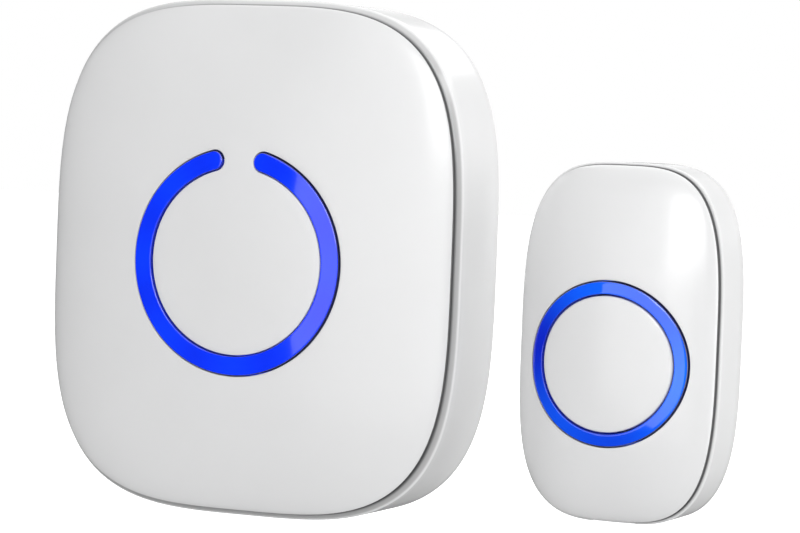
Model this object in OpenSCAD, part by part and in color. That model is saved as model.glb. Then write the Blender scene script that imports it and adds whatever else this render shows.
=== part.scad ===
// Wireless doorbell set: a plug-in chime receiver and a push-button transmitter.
// Fronts face -y, both backs stand on the wall plane y = 0 and +z is up.
// The origin is the middle of the receiver's plug face, between its two blades.

/* [Pair] */
// Distance from the receiver's middle to the transmitter's middle, sideways
transmitter_x = 67.4; // [62:0.2:120]
// Height of the transmitter's middle over the receiver's middle
transmitter_z = -11.2; // [-40:0.2:40]

/* [Receiver shell] */
// Width of the receiver at its seam
receiver_w = 78.4; // [76:0.2:84]
// Height of the receiver at its seam
receiver_h = 90; // [90:1:100]
// Fullness of the receiver's outline, where 2 is an ellipse
receiver_fullness = 3.5; // [3.2:0.1:4.5]
// Height of the receiver's seam over the wall plane
receiver_seam = 19.5; // [19:0.5:24]
// Rise of the front cover's crown
cover_crown = 3.4; // [3:0.2:7]
// Height of the front cover's rounded edge
cover_edge = 2.6; // [2.4:0.2:4]
// Wall of the front cover at its crown
cover_wall = 1.8; // [1.4:0.1:2.2]
// Wall of the rear housing
housing_wall = 2; // [1.6:0.1:2.4]
// Bevel of the rear housing's rim, which stands proud of the cover
rim_bevel = 1; // [0.6:0.1:1.4]
// Radius of the rear housing's back edge
back_round = 1.2; // [0.6:0.1:1.5]
// Shadow gap between a unit's front and its back half
seam_gap = 0.9; // [0.3:0.1:1.1]
// Length of the receiver's locating tongue below the seam
tongue_l = 2.5; // [2:0.25:3]
// Wall of the locating tongue
tongue_wall = 1.3; // [1.1:0.1:1.5]
// Clearance between a tongue and the wall that it slides into
tongue_clearance = 0.25; // [0.2:0.05:0.35]

/* [Receiver light ring] */
// Outer diameter of the receiver's light ring
ring_d = 40; // [36:0.1:43]
// Width of the ring's band
ring_band = 3.3; // [3:0.1:4.5]
// Clear opening between the ring's rounded ends, at the top
ring_opening = 6.2; // [4:0.2:10]
// Distance of the light ring below the receiver's middle
ring_drop = 0.5; // [0:0.1:3]
// Height by which a light ring stands proud of the cover
ring_proud = 0.4; // [0.1:0.05:0.5]
// Groove between a light ring and the cover
ring_groove = 0.25; // [0.2:0.05:0.4]
// Width of the flange that holds the ring behind the cover
ring_flange = 1.4; // [1:0.1:1.8]
// Thickness of the flange that holds a light ring
flange_t = 1.2; // [1:0.1:1.5]

/* [Plug] */
// Width of a plug blade
blade_w = 6.3; // [6:0.1:6.6]
// Thickness of a plug blade
blade_t = 1.5; // [1.4:0.05:1.6]
// Reach of the plug blades beyond the wall plane
blade_reach = 17.5; // [15:0.5:18]
// Distance between the middles of the blades
blade_pitch = 12.7; // [12:0.1:14]
// Diameter of the hole near a blade's tip
blade_hole_d = 3.2; // [2.8:0.1:3.4]
// Width of the raised plug face
plug_w = 30; // [26:1:34]
// Height of the raised plug face
plug_h = 20; // [16:1:24]
// Rise of the plug face over the housing's back
plug_rise = 1.6; // [1:0.1:2.5]
// Width of the blade carrier between its ears
carrier_w = 26; // [24:1:28]
// Height of the blade carrier
carrier_h = 15; // [14:0.5:16]
// Depth of the blade carrier
carrier_l = 7.4; // [7:0.2:8]

/* [Loudspeaker] */
// Diameter of the loudspeaker
speaker_d = 30; // [26:1:31]
// Depth of the loudspeaker without its magnet
speaker_l = 6.4; // [6:0.2:7]
// Thickness of the loudspeaker's magnet
magnet_t = 3.4; // [3:0.2:3.6]
// Diameter of a sound hole
sound_hole_d = 1.8; // [1.4:0.1:2.2]
// Distance between the rings of sound holes
sound_hole_pitch = 3.4; // [3:0.1:3.6]

/* [Side keys] */
// Length of a side key
key_l = 9; // [7:0.5:10]
// Width of a side key
key_w = 4; // [3:0.25:5]
// Distance between the side keys
key_pitch = 14; // [13:0.5:15]
// Height by which a side key stands proud
key_proud = 0.9; // [0.7:0.1:1.4]
// Travel of a side key
key_travel = 0.6; // [0.3:0.1:0.6]
// Clearance round a side key
key_clearance = 0.3; // [0.2:0.05:0.4]

/* [Receiver boards] */
// Width of the main board
board_w = 58; // [54:1:60]
// Height of the main board
board_h = 54; // [50:1:56]
// Thickness of the receiver's boards
board_t = 1.6; // [1.2:0.2:1.6]
// Width of the power board
power_w = 40; // [38:1:41]
// Height of the power board
power_h = 27; // [26:0.5:28]
// Height of an LED
led_t = 1.7; // [1.2:0.1:1.8]
// Number of LEDs under the receiver's light ring
ring_led_count = 8; // [4:1:10]

/* [Transmitter shell] */
// Width of the transmitter at its seam
transmitter_w = 35.6; // [35.4:0.2:40]
// Height of the transmitter at its seam
transmitter_h = 61.2; // [60:0.2:70]
// Fullness of the transmitter's outline, where 2 is an ellipse
transmitter_fullness = 3.45; // [3.2:0.05:4]
// Height of the transmitter's seam over the wall plane
transmitter_seam = 11.8; // [10.5:0.1:14]
// Rise of the front shell's crown
shell_crown = 4.2; // [2.8:0.2:4.4]
// Height of the front shell's rounded edge
shell_edge = 2.6; // [2.4:0.2:3.6]
// Wall of the front shell at its crown
shell_wall = 1.6; // [1.4:0.1:1.8]
// Length of the transmitter's locating tongue below the seam
shell_tongue_l = 3.2; // [3:0.1:4]
// Side wall of the base
base_wall = 1.6; // [1.4:0.1:1.7]
// Floor of the base
base_floor = 1.8; // [1.4:0.1:2]
// Bevel of the base's rim
base_bevel = 0.45; // [0.3:0.05:0.6]
// Radius of the base's back edge
base_round = 0.8; // [0.4:0.1:1]
// Thickness of the seal between the base and the front shell
seal_t = 0.6; // [0.5:0.1:0.8]
// Diameter of a wall screw hole
wall_hole_d = 3.6; // [3:0.2:4.5]
// Distance between the two wall screw holes
wall_hole_pitch = 40; // [36:1:42]
// Width of the notch for prising the front off
notch_w = 8; // [6:1:10]

/* [Transmitter button] */
// Outer diameter of the transmitter's light ring
button_ring_d = 28.1; // [26:0.1:28.4]
// Width of the transmitter's ring band
button_ring_band = 2.1; // [2:0.1:2.8]
// Distance of the button below the transmitter's middle
button_drop = 3.3; // [1:0.1:4]
// Travel of the push button
button_travel = 0.8; // [0.4:0.1:0.8]
// Clearance between the push button and its ring
button_clearance = 0.3; // [0.2:0.05:0.4]
// Wall of the push button
button_wall = 1.6; // [1.4:0.1:1.8]

/* [Transmitter inside] */
// Diameter of the coin cell
coin_d = 20; // [16:1:20]
// Thickness of the coin cell
coin_t = 3.2; // [2:0.2:3.2]
// Thickness of the transmitter's board
small_board_t = 1.2; // [1:0.1:1.2]
// Height of the tact switch's body
switch_t = 2.4; // [2:0.1:2.6]

/* [Hidden] */
$fn = 48;

// Slack of a cut that has to run past a face
past = 1;
// Overlap of two walls that are one piece
lap = 0.01;
// Steps round the outlines and up the domes
receiver_steps = 72;
transmitter_steps = 60;
dome_steps = 11;
cavity_steps = 7;
// Sharpness of a dome's rounded edge
edge_power = 5;

// Receiver: half sizes and heights over the wall plane
receiver_a = receiver_w / 2;
receiver_b = receiver_h / 2;
cover_rim = receiver_seam + seam_gap;
housing_floor = plug_rise + housing_wall;
housing_grow = rim_bevel - housing_wall;
tongue_grow = housing_grow - tongue_clearance;
cavity_grow = tongue_grow - tongue_wall;
tongue_end = receiver_seam - tongue_l;
cover_shift = cover_edge - cover_wall;

// Receiver: main board and light ring
board_drop = 1.4;
board_face = receiver_seam - board_drop;
board_back = board_face - board_t;
board_round = 4;
board_inset = 4;
led_air = 0.5;
ring_foot = board_face + led_t + led_air;
ring_seat = ring_foot + flange_t;
ring_ro = ring_d / 2;
ring_ri = ring_ro - ring_band;
ring_rm = (ring_ro + ring_ri) / 2;
ring_half_gap = asin((ring_opening + ring_band) / 2 / ring_rm);
ring_steps = 48;
cap_steps = 8;
seat_margin = 0.8;
led_size = [2.8, 3.5];

// Receiver: screws that hold the cover to the housing
post_inset = [13.5, 11];
post_at = [receiver_a - post_inset[0], receiver_b - post_inset[1]];
post_plane = 9;
post_r = 3.5;
post_step = 0.2;
boss_r = 4.2;
screw_r = 1.45;
screw_head_r = 2.8;
screw_head_t = 2;
screw_l = 10.9;
screw_seat = housing_floor + 1;
pilot_clearance = 0.05;
pilot_r = screw_r + pilot_clearance;
hole_clearance = 0.25;
bore_clearance = 0.4;
pilot_spare = 1.5;

// Receiver: small screws of the boards and the blade carrier
small_screw_r = 1;
small_pilot_r = small_screw_r + pilot_clearance;
small_hole_r = small_screw_r + hole_clearance;
small_head_r = 2;
small_head_t = 1.4;
small_screw_l = 6;
standoff_r = 2.6;
board_holes = [board_w / 2 - board_inset, board_h / 2 - board_inset];

// Receiver: blade carrier
carrier_top = housing_floor + carrier_l;
ear_reach = 9;
ear_h = 8;
ear_t = 3;
ear_at = carrier_w / 2 + ear_reach / 2;
blade_fit = 0.1;
shoulder_w = blade_w + 3;
shoulder_t = 2;
tab_l = 2.5;
tip_chamfer = 1.2;
blade_hole_inset = 6;
corner_r = 2;

// Receiver: loudspeaker on the back wall, below the blade carrier
speaker_r = speaker_d / 2;
speaker_collar = 1.2;
speaker_fit = 0.3;
speaker_gap = 1;
speaker_v = -carrier_h / 2 - speaker_gap - speaker_r - speaker_fit - speaker_collar;
speaker_rim_t = 1;
speaker_rim_w = 2.4;
collar_l = 2.6;
magnet_r = 8;
cone_t = 0.5;
cone_fit = 0.2;
throat_fit = 0.4;
cone_back_gap = 2.4;
cone_r = speaker_r - speaker_rim_w - cone_fit;
cone_throat_r = magnet_r / 2 - throat_fit;
cone_l = speaker_l - cone_back_gap;
dust_cap_h = 1;
sound_rings = 3;

// Receiver: power board over the blade carrier
power_gap = 2.5;
power_back = housing_floor + 4;
power_face = power_back + board_t;
power_v = carrier_h / 2 + power_gap + power_h / 2;
power_inset = 3.5;
power_holes = [power_w / 2 - power_inset, power_h / 2 - power_inset];
film_size = [13, 11, 6];
film_at = [7.5, power_v - 3.5];
can_r = 4;
can_l = 11;
can_at = [-4, power_v + 7];
fuse_r = 1.6;
fuse_l = 9;
fuse_at = [-12.5, power_v - 4];
rectifier_size = [5, 5, 2.4];
rectifier_at = [-5, power_v - 6];
link_size = [9, 2.5];
link_at = [-5.2, power_v + 0.5];
seat_slack = 0.02;

// Receiver: leads from the blades to the power board and from the loudspeaker to the main board
lead_r = 0.65;
lead_bend = 1.4;
lead_over = carrier_top + tab_l + 2;
lead_inset = 2;
lead_reach = carrier_h / 2 + power_gap + lead_inset;
speaker_lead_r = 0.5;
speaker_lead_turn = 12;

// Receiver: parts on the main board
chip_size = [10, 6, 2];
chip_at = [0, 7];
module_size = [13, 10, 2.5];
module_at = [0, -6];
antenna_r = 2.4;
antenna_turns = 10;
antenna_pitch = 1.6;
antenna_inset = 4.5;
antenna_u = board_w / 2 - antenna_inset;
wire_r = 0.4;
coil_rings = 8;
coil_sides = 6;

// Receiver: side keys and their switches, on the side that is hidden from the front
key_drop = 8.5;
key_axis = receiver_seam - key_drop;
key_places = [key_pitch, 0, -key_pitch];
key_flange_l = key_l + 2;
key_flange_w = key_w + 2;
key_flange_t = 1;
key_stem_r = 1.8;
switch_body = [4, 6.4];
switch_drop = 3;
switch_face = -board_w / 2;
plunger_r = 1.5;
plunger_fit = 0.1;
plunger_out = 2;
plunger_in = 1.4;
plunger_spare = 0.4;
round_steps = 8;

// Transmitter: half sizes and heights over the wall plane
transmitter_a = transmitter_w / 2;
transmitter_b = transmitter_h / 2;
shell_rim = transmitter_seam + seam_gap;
base_grow = base_bevel - base_wall;
shell_tongue_grow = base_grow - tongue_clearance;
shell_cavity_grow = shell_tongue_grow - tongue_wall;
shell_tongue_end = transmitter_seam - shell_tongue_l;
shell_shift = shell_edge - shell_wall;
ledge_lap = 0.35;
ledge_grow = shell_cavity_grow + ledge_lap;
ledge = shell_tongue_end - seal_t;
seal_inset = 0.1;
notch_t = 1.4;
notch_depth = 1.2;
wall_hole_sink_r = 3.6;
wall_hole_sink = 0.6;

// Transmitter: board, hung on posts of the front shell
small_board_rise = 0.2;
small_board_fit = 0.35;
small_board_face = shell_tongue_end + small_board_rise;
small_board_back = small_board_face - small_board_t;
small_board_grow = shell_cavity_grow - small_board_fit;
small_post_r = 2.3;
small_post_inset = [8.6, 9.5];
small_posts = [transmitter_a - small_post_inset[0], transmitter_b - small_post_inset[1]];
tiny_screw_r = 0.9;
tiny_pilot_r = tiny_screw_r + pilot_clearance;
tiny_spare = 0.5;
tiny_head_r = 1.7;
tiny_head_t = 1.2;
tiny_grip = 3;

// Transmitter: light ring and push button
button_ring_ro = button_ring_d / 2;
button_ring_ri = button_ring_ro - button_ring_band;
button_ring_sink = 0.1;
button_ring_seat = shell_rim - button_ring_sink;
button_ring_foot = button_ring_seat - flange_t;
button_flange = 0.8;
button_r = button_ring_ri - button_clearance;
button_spare = 0.4;
button_foot = small_board_face + button_travel + button_spare;
tab_gap = 0.3;
tab_reach = 1.4;
tab_w = 4;
tab_turns = [90, 210, 330];
button_pocket = shell_rim + swell(button_r / transmitter_a, shell_crown, shell_edge) - button_wall;
stem_r = 2.2;
switch_top = small_board_face + switch_t;
switch_w = 6;
push_r = 1.7;
push_spare = 0.3;
push_out = button_travel + push_spare;
push_in = 0.9;
small_led_t = 1.4;
small_led_inset = 0.7;
small_led_at = button_ring_ro - small_led_inset;
small_led_turns = [30, 150, 270];

// Transmitter: coin cell between the base and the board
contact_t = 0.6;
coin_face = small_board_back - contact_t;
coin_back = coin_face - coin_t;
coin_chamfer = 0.4;
clip_t = 0.3;
clip_w = 5;
clip_gap = 0.3;
contact_r = 4;
radio_chip_size = [6, 5, 1.5];
radio_chip_v = 15;
small_antenna_r = 1.8;
small_antenna_turns = 6;
small_antenna_inset = 9.5;
small_antenna_v = transmitter_b - small_antenna_inset;

// Points round a superellipse with half sizes a and b and fullness n
function outline(a, b, n, steps) = [
    for (i = [0:steps - 1])
        let (c = cos(360 * i / steps), s = sin(360 * i / steps))
        [a * sign(c) * pow(abs(c), 2 / n), b * sign(s) * pow(abs(s), 2 / n)]
];
// The same outline lifted to height w
function level(a, b, n, steps, w) = [for (p = outline(a, b, n, steps)) [p[0], p[1], w]];
// Height of a dome over its rim, at the share s of the way from its middle to its rim
function swell(s, crown, edge) = crown * (1 - s * s) + edge * sqrt(1 - pow(s, edge_power));
// Fullness of a dome's contours, which run from an ellipse to the rim's outline
function contour(n, s) = 2 + (n - 2) * s * s;
// Half width of a superellipse at height v
function half_width(a, b, n, v) = a * pow(1 - pow(abs(v) / b, n), 1 / n);
// Corners of a rectangle with rounded corners
function rounded(w, h, r) = [
    for (k = [0:3], i = [0:round_steps])
        let (turn = 90 * k + 90 * i / round_steps)
        [(k == 0 || k == 3 ? 1 : -1) * (w / 2 - r) + r * cos(turn),
         (k < 2 ? 1 : -1) * (h / 2 - r) + r * sin(turn)]
];
// A band round the middle with an opening at the top and rounded ends
function open_band(ro, ri, half_gap) =
    let (rm = (ro + ri) / 2, rc = (ro - ri) / 2, first = 90 + half_gap, sweep = 360 - 2 * half_gap)
    concat(
        [for (i = [0:ring_steps]) let (t = first + sweep * i / ring_steps) ro * [cos(t), sin(t)]],
        band_end(rm, rc, first + sweep, 1),
        [for (i = [ring_steps:-1:0]) let (t = first + sweep * i / ring_steps) ri * [cos(t), sin(t)]],
        band_end(rm, rc, first, -1)
    );
// The half circle that closes one end of a band
function band_end(rm, rc, at, way) = [
    for (i = [1:cap_steps - 1])
        let (t = 180 * i / cap_steps, along = rc * sin(t), out = rc * cos(t))
        (rm + way * out) * [cos(at), sin(at)] + way * along * [-sin(at), cos(at)]
];

// Turns a unit that is modelled lying on its back, so that its back is on the wall plane
module upright() {
    rotate([90, 0, 0]) children();
}

module on_transmitter() {
    translate([transmitter_x, 0, transmitter_z]) upright() children();
}

module at_corners(at) {
    for (u = [-1, 1], v = [-1, 1]) translate([u * at[0], v * at[1], 0]) children();
}

module lift(w) {
    translate([0, 0, w]) children();
}

// Wall triangles between a number of closed rings that follow each other upward
function ring_walls(rings, count) = [
    for (k = [0:rings - 2], i = [0:count - 1])
        let (low = k * count + i, next = k * count + (i + 1) % count)
        each [[low, next + count, next], [low, low + count, next + count]]
];

// A solid between closed rings of points that follow each other upward
module loft(rings) {
    count = len(rings[0]);
    last = len(rings) - 1;
    floor_face = [for (i = [0:count - 1]) i];
    top_face = [for (i = [count - 1:-1:0]) last * count + i];
    faces = concat(ring_walls(last + 1, count), [floor_face, top_face]);
    polyhedron([for (ring = rings) each ring], faces, convexity = 4);
}

// A domed solid over a superellipse, with a straight skirt below its rim
module pillow(a, b, n, crown, edge, rim, skirt, steps, rises) {
    shares = [for (k = [0:rises - 1]) sin(90 - 90 * k / rises)];
    domed = [
        for (s = shares)
            level(a * s, b * s, contour(n, s), steps, rim + swell(s, crown, edge))
    ];
    rings = concat([level(a, b, n, steps, rim - skirt)], domed);
    apex = len(rings) * steps;
    crown_faces = [for (i = [0:steps - 1]) [apex - steps + i, apex, apex - steps + (i + 1) % steps]];
    floor_face = [for (i = [0:steps - 1]) i];
    faces = concat(ring_walls(len(rings), steps), crown_faces, [floor_face]);
    points = concat([for (ring = rings) each ring], [[0, 0, rim + crown + edge]]);
    polyhedron(points, faces, convexity = 4);
}

// A straight wall or hollow over an outline
module prism(points, from, to) {
    lift(from) linear_extrude(to - from) polygon(points);
}

// A round post or hole
module rod(r, from, to) {
    lift(from) cylinder(r = r, h = to - from);
}

module tube(ro, ri, from, to) {
    difference() {
        rod(ro, from, to);
        rod(ri, from - past, to + past);
    }
}

module block(size, at, from) {
    translate([at[0] - size[0] / 2, at[1] - size[1] / 2, from]) cube(size);
}

// A pan-head screw that points up, with its head under the height seat
module screw(r, head_r, head_t, length, seat) {
    rod(head_r, seat - head_t, seat);
    rod(r, seat - head_t / 2, seat + length);
}

// A coil of round wire along the x axis
module coil(r, turns) {
    count = turns * coil_rings;
    points = [
        for (k = [0:count], i = [0:coil_sides - 1])
            let (turn = 360 * k / coil_rings, side = 360 * i / coil_sides, reach = r + wire_r * cos(side))
            [antenna_pitch * (k / coil_rings - turns / 2) + wire_r * sin(side),
             reach * cos(turn), reach * sin(turn)]
    ];
    walls = [
        for (k = [0:count - 1], i = [0:coil_sides - 1])
            let (low = k * coil_sides + i, next = k * coil_sides + (i + 1) % coil_sides)
            each [[low, next, next + coil_sides], [low, next + coil_sides, low + coil_sides]]
    ];
    first_face = [for (i = [coil_sides - 1:-1:0]) i];
    last_face = [for (i = [0:coil_sides - 1]) count * coil_sides + i];
    polyhedron(points, concat(walls, [first_face, last_face]), convexity = 6);
}

// Outline of the receiver, grown by a given amount
function receiver_outline(grow) =
    outline(receiver_a + grow, receiver_b + grow, receiver_fullness, receiver_steps);
function receiver_level(grow, w) =
    level(receiver_a + grow, receiver_b + grow, receiver_fullness, receiver_steps, w);
function transmitter_outline(grow) =
    outline(transmitter_a + grow, transmitter_b + grow, transmitter_fullness, transmitter_steps);
function transmitter_level(grow, w) =
    level(transmitter_a + grow, transmitter_b + grow, transmitter_fullness, transmitter_steps, w);
// Heights and growths of a rounded back edge
function round_back(r, from, grow) = [
    for (k = [0:3]) [from + r * (1 - cos(30 * k)), grow - r * (1 - sin(30 * k))]
];

// The receiver's dome, from the height low upward
module receiver_dome(low) {
    pillow(receiver_a, receiver_b, receiver_fullness, cover_crown, cover_edge,
           cover_rim, cover_rim - low, receiver_steps, dome_steps);
}

module at_ring() {
    translate([0, -ring_drop, 0]) children();
}

module receiver_cavity() {
    pillow(receiver_a + cavity_grow, receiver_b + cavity_grow, receiver_fullness, cover_crown, cover_shift,
           cover_rim, cover_rim - tongue_end + past, receiver_steps, cavity_steps);
}

module receiver_front_cover() {
    color("whitesmoke") upright() difference() {
        union() {
            difference() {
                union() {
                    receiver_dome(cover_rim - lap);
                    prism(receiver_outline(tongue_grow), tongue_end, cover_rim + cover_edge / 4);
                }
                difference() {
                    receiver_cavity();
                    at_ring()
                        tube(ring_ro + ring_flange + seat_margin, ring_ri - ring_flange - seat_margin,
                             ring_seat, cover_rim + cover_crown + cover_edge);
                    at_corners(post_at)
                        rod(post_r - post_step, tongue_end, cover_rim + cover_crown + cover_edge);
                }
            }
            at_corners(post_at) rod(post_r, post_plane, tongue_end + past);
        }
        at_ring()
            prism(open_band(ring_ro + ring_groove, ring_ri - ring_groove, ring_half_gap),
                  ring_seat - past, cover_rim + cover_crown + cover_edge + past);
        at_corners(post_at) rod(pilot_r, post_plane - past, screw_seat + screw_l + pilot_spare);
    }
}

module receiver_light_ring() {
    color("blue") upright() {
        intersection() {
            at_ring()
                prism(open_band(ring_ro, ring_ri, ring_half_gap),
                      ring_foot, cover_rim + cover_crown + cover_edge + past);
            lift(ring_proud) receiver_dome(ring_foot - past);
        }
        at_ring()
            prism(open_band(ring_ro + ring_flange, ring_ri - ring_flange, ring_half_gap), ring_foot, ring_seat);
    }
}

// One place of the plug blades' slots
module at_blades() {
    for (u = [-1, 1]) translate([u * blade_pitch / 2, 0, 0]) children();
}

// Sound holes in rings round the loudspeaker's middle
module sound_holes() {
    translate([0, speaker_v, 0]) {
        rod(sound_hole_d / 2, plug_rise - past, housing_floor + past);
        for (k = [1:sound_rings], i = [0:6 * k - 1])
            rotate(60 * i / k)
                translate([k * sound_hole_pitch, 0, 0])
                    rod(sound_hole_d / 2, plug_rise - past, housing_floor + past);
    }
}

module receiver_rear_housing() {
    rings = concat(
        [for (r = round_back(back_round, plug_rise, rim_bevel)) receiver_level(r[1], r[0])],
        [receiver_level(rim_bevel, receiver_seam - rim_bevel), receiver_level(0, receiver_seam)]
    );
    root = housing_floor - housing_wall / 2;
    color("white") upright() difference() {
        union() {
            difference() {
                loft(rings);
                prism(receiver_outline(housing_grow), housing_floor, receiver_seam + past);
            }
            prism(rounded(plug_w, plug_h, corner_r), 0, root);
            at_corners(post_at) rod(boss_r, root, post_plane);
            at_corners(board_holes) rod(standoff_r, root, board_back);
            translate([0, power_v, 0]) at_corners(power_holes) rod(standoff_r, root, power_back);
            at_corners([ear_at, 0]) rod(standoff_r, root, carrier_top - ear_t);
            translate([0, speaker_v, 0])
                tube(speaker_r + speaker_fit + speaker_collar, speaker_r + speaker_fit,
                     root, housing_floor + collar_l);
        }
        at_corners(post_at) {
            rod(screw_r + hole_clearance, -past, post_plane + past);
            rod(screw_head_r + bore_clearance, -past, screw_seat);
        }
        at_corners(board_holes)
            rod(small_pilot_r, board_face - small_screw_l - pilot_spare, board_back + past);
        translate([0, power_v, 0]) at_corners(power_holes)
            rod(small_pilot_r, housing_floor, power_back + past);
        at_corners([ear_at, 0])
            rod(small_pilot_r, housing_floor, carrier_top);
        at_blades() blade_slot(-past, housing_floor + past, blade_w);
        sound_holes();
        for (v = key_places)
            translate([-receiver_a, v, key_axis])
                rotate([0, -90, 0])
                    prism(rounded(key_w + 2 * key_clearance, key_l + 2 * key_clearance, key_w / 2),
                          -2 * housing_wall, 2 * housing_wall);
    }
}

module blade_slot(from, to, width) {
    block([blade_t + 2 * blade_fit, width + 2 * blade_fit, to - from], [0, 0], from);
}

module housing_screws() {
    color("silver") upright() at_corners(post_at)
        screw(screw_r, screw_head_r, screw_head_t, screw_l, screw_seat);
}

module plug_blades() {
    half = blade_w / 2;
    wide = shoulder_w / 2;
    shoulder_top = housing_floor + shoulder_t;
    top = carrier_top + tab_l;
    side = [
        [-half + tip_chamfer, -blade_reach], [half - tip_chamfer, -blade_reach],
        [half, tip_chamfer - blade_reach], [half, housing_floor],
        [wide, housing_floor], [wide, shoulder_top], [half, shoulder_top], [half, top],
        [-half, top], [-half, shoulder_top], [-wide, shoulder_top], [-wide, housing_floor],
        [-half, housing_floor], [-half, tip_chamfer - blade_reach]
    ];
    color("goldenrod") upright() at_blades() difference() {
        rotate([90, 0, 90]) lift(-blade_t / 2) linear_extrude(blade_t) polygon(side);
        lift(blade_hole_inset - blade_reach) rotate([0, 90, 0]) rod(blade_hole_d / 2, -blade_t, blade_t);
    }
}

module blade_carrier() {
    color("dimgray") upright() difference() {
        union() {
            prism(rounded(carrier_w, carrier_h, corner_r), housing_floor, carrier_top);
            prism(rounded(carrier_w + 2 * ear_reach, ear_h, corner_r), carrier_top - ear_t, carrier_top);
        }
        at_blades() {
            blade_slot(housing_floor - past, carrier_top + past, blade_w);
            blade_slot(housing_floor - past, housing_floor + shoulder_t + blade_fit, shoulder_w);
        }
        at_corners([ear_at, 0])
            rod(small_hole_r, carrier_top - ear_t - past, carrier_top + past);
    }
}

// A small screw that points back, with its head on the height seat
module small_screw(seat) {
    lift(seat) mirror([0, 0, 1]) screw(small_screw_r, small_head_r, small_head_t, small_screw_l, 0);
}

module carrier_screws() {
    color("silver") upright() for (u = [-1, 1]) translate([u * ear_at, 0, 0]) small_screw(carrier_top);
}

module main_board() {
    color("darkgreen") upright() difference() {
        prism(rounded(board_w, board_h, board_round), board_back, board_face);
        at_corners(board_holes) rod(small_hole_r, board_back - past, board_face + past);
    }
}

module ring_leds() {
    sweep = (360 - 2 * ring_half_gap) / ring_led_count;
    color("lightyellow") upright() at_ring() for (i = [0:ring_led_count - 1])
        rotate(90 + ring_half_gap + sweep * (i + 0.5))
            block([led_size[0], led_size[1], led_t], [ring_rm, 0], board_face);
}

module melody_chip() {
    color("black") upright() block(chip_size, chip_at, board_face);
}

module radio_module() {
    color("lightgray") upright() block(module_size, module_at, board_face);
}

module receiver_antenna() {
    color("chocolate") upright()
        translate([antenna_u, 0, board_back - antenna_r - wire_r - seat_slack])
            rotate(90) coil(antenna_r, antenna_turns);
}

module power_board() {
    color("darkgreen") upright() translate([0, power_v, 0]) difference() {
        prism(rounded(power_w, power_h, corner_r), power_back, power_face);
        at_corners(power_holes) rod(small_hole_r, power_back - past, power_face + past);
    }
}

module film_capacitor() {
    color("gold") upright() block(film_size, film_at, power_face);
}

module reservoir_capacitor() {
    color("midnightblue") upright()
        translate([can_at[0], can_at[1], power_face + can_r + seat_slack])
            rotate([0, 90, 0]) rod(can_r, -can_l / 2, can_l / 2);
}

module fuse_resistor() {
    color("tan") upright()
        translate([fuse_at[0], fuse_at[1], power_face + fuse_r + seat_slack])
            rotate([90, 0, 0]) rod(fuse_r, -fuse_l / 2, fuse_l / 2);
}

module rectifier() {
    color("black") upright() block(rectifier_size, rectifier_at, power_face);
}

module board_link() {
    color("black") upright()
        block([link_size[0], link_size[1], board_back - power_face], link_at, power_face);
}

// A quarter turn of a lead in the upright plane, from the turn first onward
module lead_elbow(first) {
    rotate([90, 0, 90]) rotate(first) rotate_extrude(angle = 90) translate([lead_bend, 0]) circle(lead_r);
}

// A lead from a blade's tab, over the carrier's edge and down to the power board
module mains_leads() {
    bend_at = lead_over - lead_bend;
    color("brown") upright() at_blades() {
        rod(lead_r, carrier_top + tab_l, bend_at);
        translate([0, lead_bend, bend_at]) lead_elbow(90);
        lift(lead_over) rotate([-90, 0, 0]) rod(lead_r, lead_bend, lead_reach - lead_bend);
        translate([0, lead_reach - lead_bend, bend_at]) lead_elbow(0);
        translate([0, lead_reach, 0]) rod(lead_r, power_face, bend_at);
    }
}

module board_screws() {
    color("silver") upright() {
        at_corners(board_holes) small_screw(board_face);
        translate([0, power_v, 0]) at_corners(power_holes) power_screw();
    }
}

// The power board's screws are as long as its standoffs are deep
module power_screw() {
    length = power_face - housing_floor - pilot_spare;
    lift(power_face) mirror([0, 0, 1]) screw(small_screw_r, small_head_r, small_head_t, length, 0);
}

module on_speaker() {
    translate([0, speaker_v, housing_floor]) children();
}

module speaker_basket() {
    wall = speaker_rim_t;
    seat = speaker_r - speaker_rim_w;
    side = [
        [seat, 0], [speaker_r, 0], [speaker_r, wall], [seat + wall, wall],
        [magnet_r + wall, speaker_l - wall], [magnet_r + wall, speaker_l], [magnet_r / 2, speaker_l],
        [magnet_r / 2, speaker_l - wall], [magnet_r, speaker_l - wall], [seat, wall]
    ];
    color("gray") upright() on_speaker() rotate_extrude() polygon(side);
}

module speaker_magnet() {
    color("dimgray") upright() on_speaker() rod(magnet_r, speaker_l, speaker_l + magnet_t);
}

module speaker_cone() {
    rim = speaker_rim_t / 2;
    side = [
        [0, cone_l - dust_cap_h], [cone_throat_r, cone_l], [cone_r, rim], [cone_r, rim + cone_t],
        [cone_throat_r, cone_l + cone_t], [0, cone_l - dust_cap_h + cone_t]
    ];
    color("black") upright() on_speaker() rotate_extrude() polygon(side);
}

// Two leads that stand on the basket's rim and end on the main board's back
module speaker_leads() {
    rim_middle = speaker_r - (speaker_rim_w - speaker_rim_t) / 2;
    color("firebrick") upright() on_speaker() for (way = [-1, 1])
        rotate(90 + way * speaker_lead_turn)
            translate([rim_middle, 0, 0])
                rod(speaker_lead_r, speaker_rim_t, board_back - housing_floor);
}

// Places a shape that is modelled upward so that it points to the side of the keys
module key_side(v) {
    translate([0, v, key_axis]) rotate([0, -90, 0]) children();
}

module key_switches() {
    color("black") upright() for (v = key_places) difference() {
        block([switch_body[0], switch_body[1], board_back - key_axis + switch_drop],
              [switch_face + switch_body[0] / 2, v], key_axis - switch_drop);
        key_side(v)
            rod(plunger_r + plunger_fit, -switch_face - plunger_in - key_travel - plunger_spare,
                -switch_face + past);
    }
}

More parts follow.
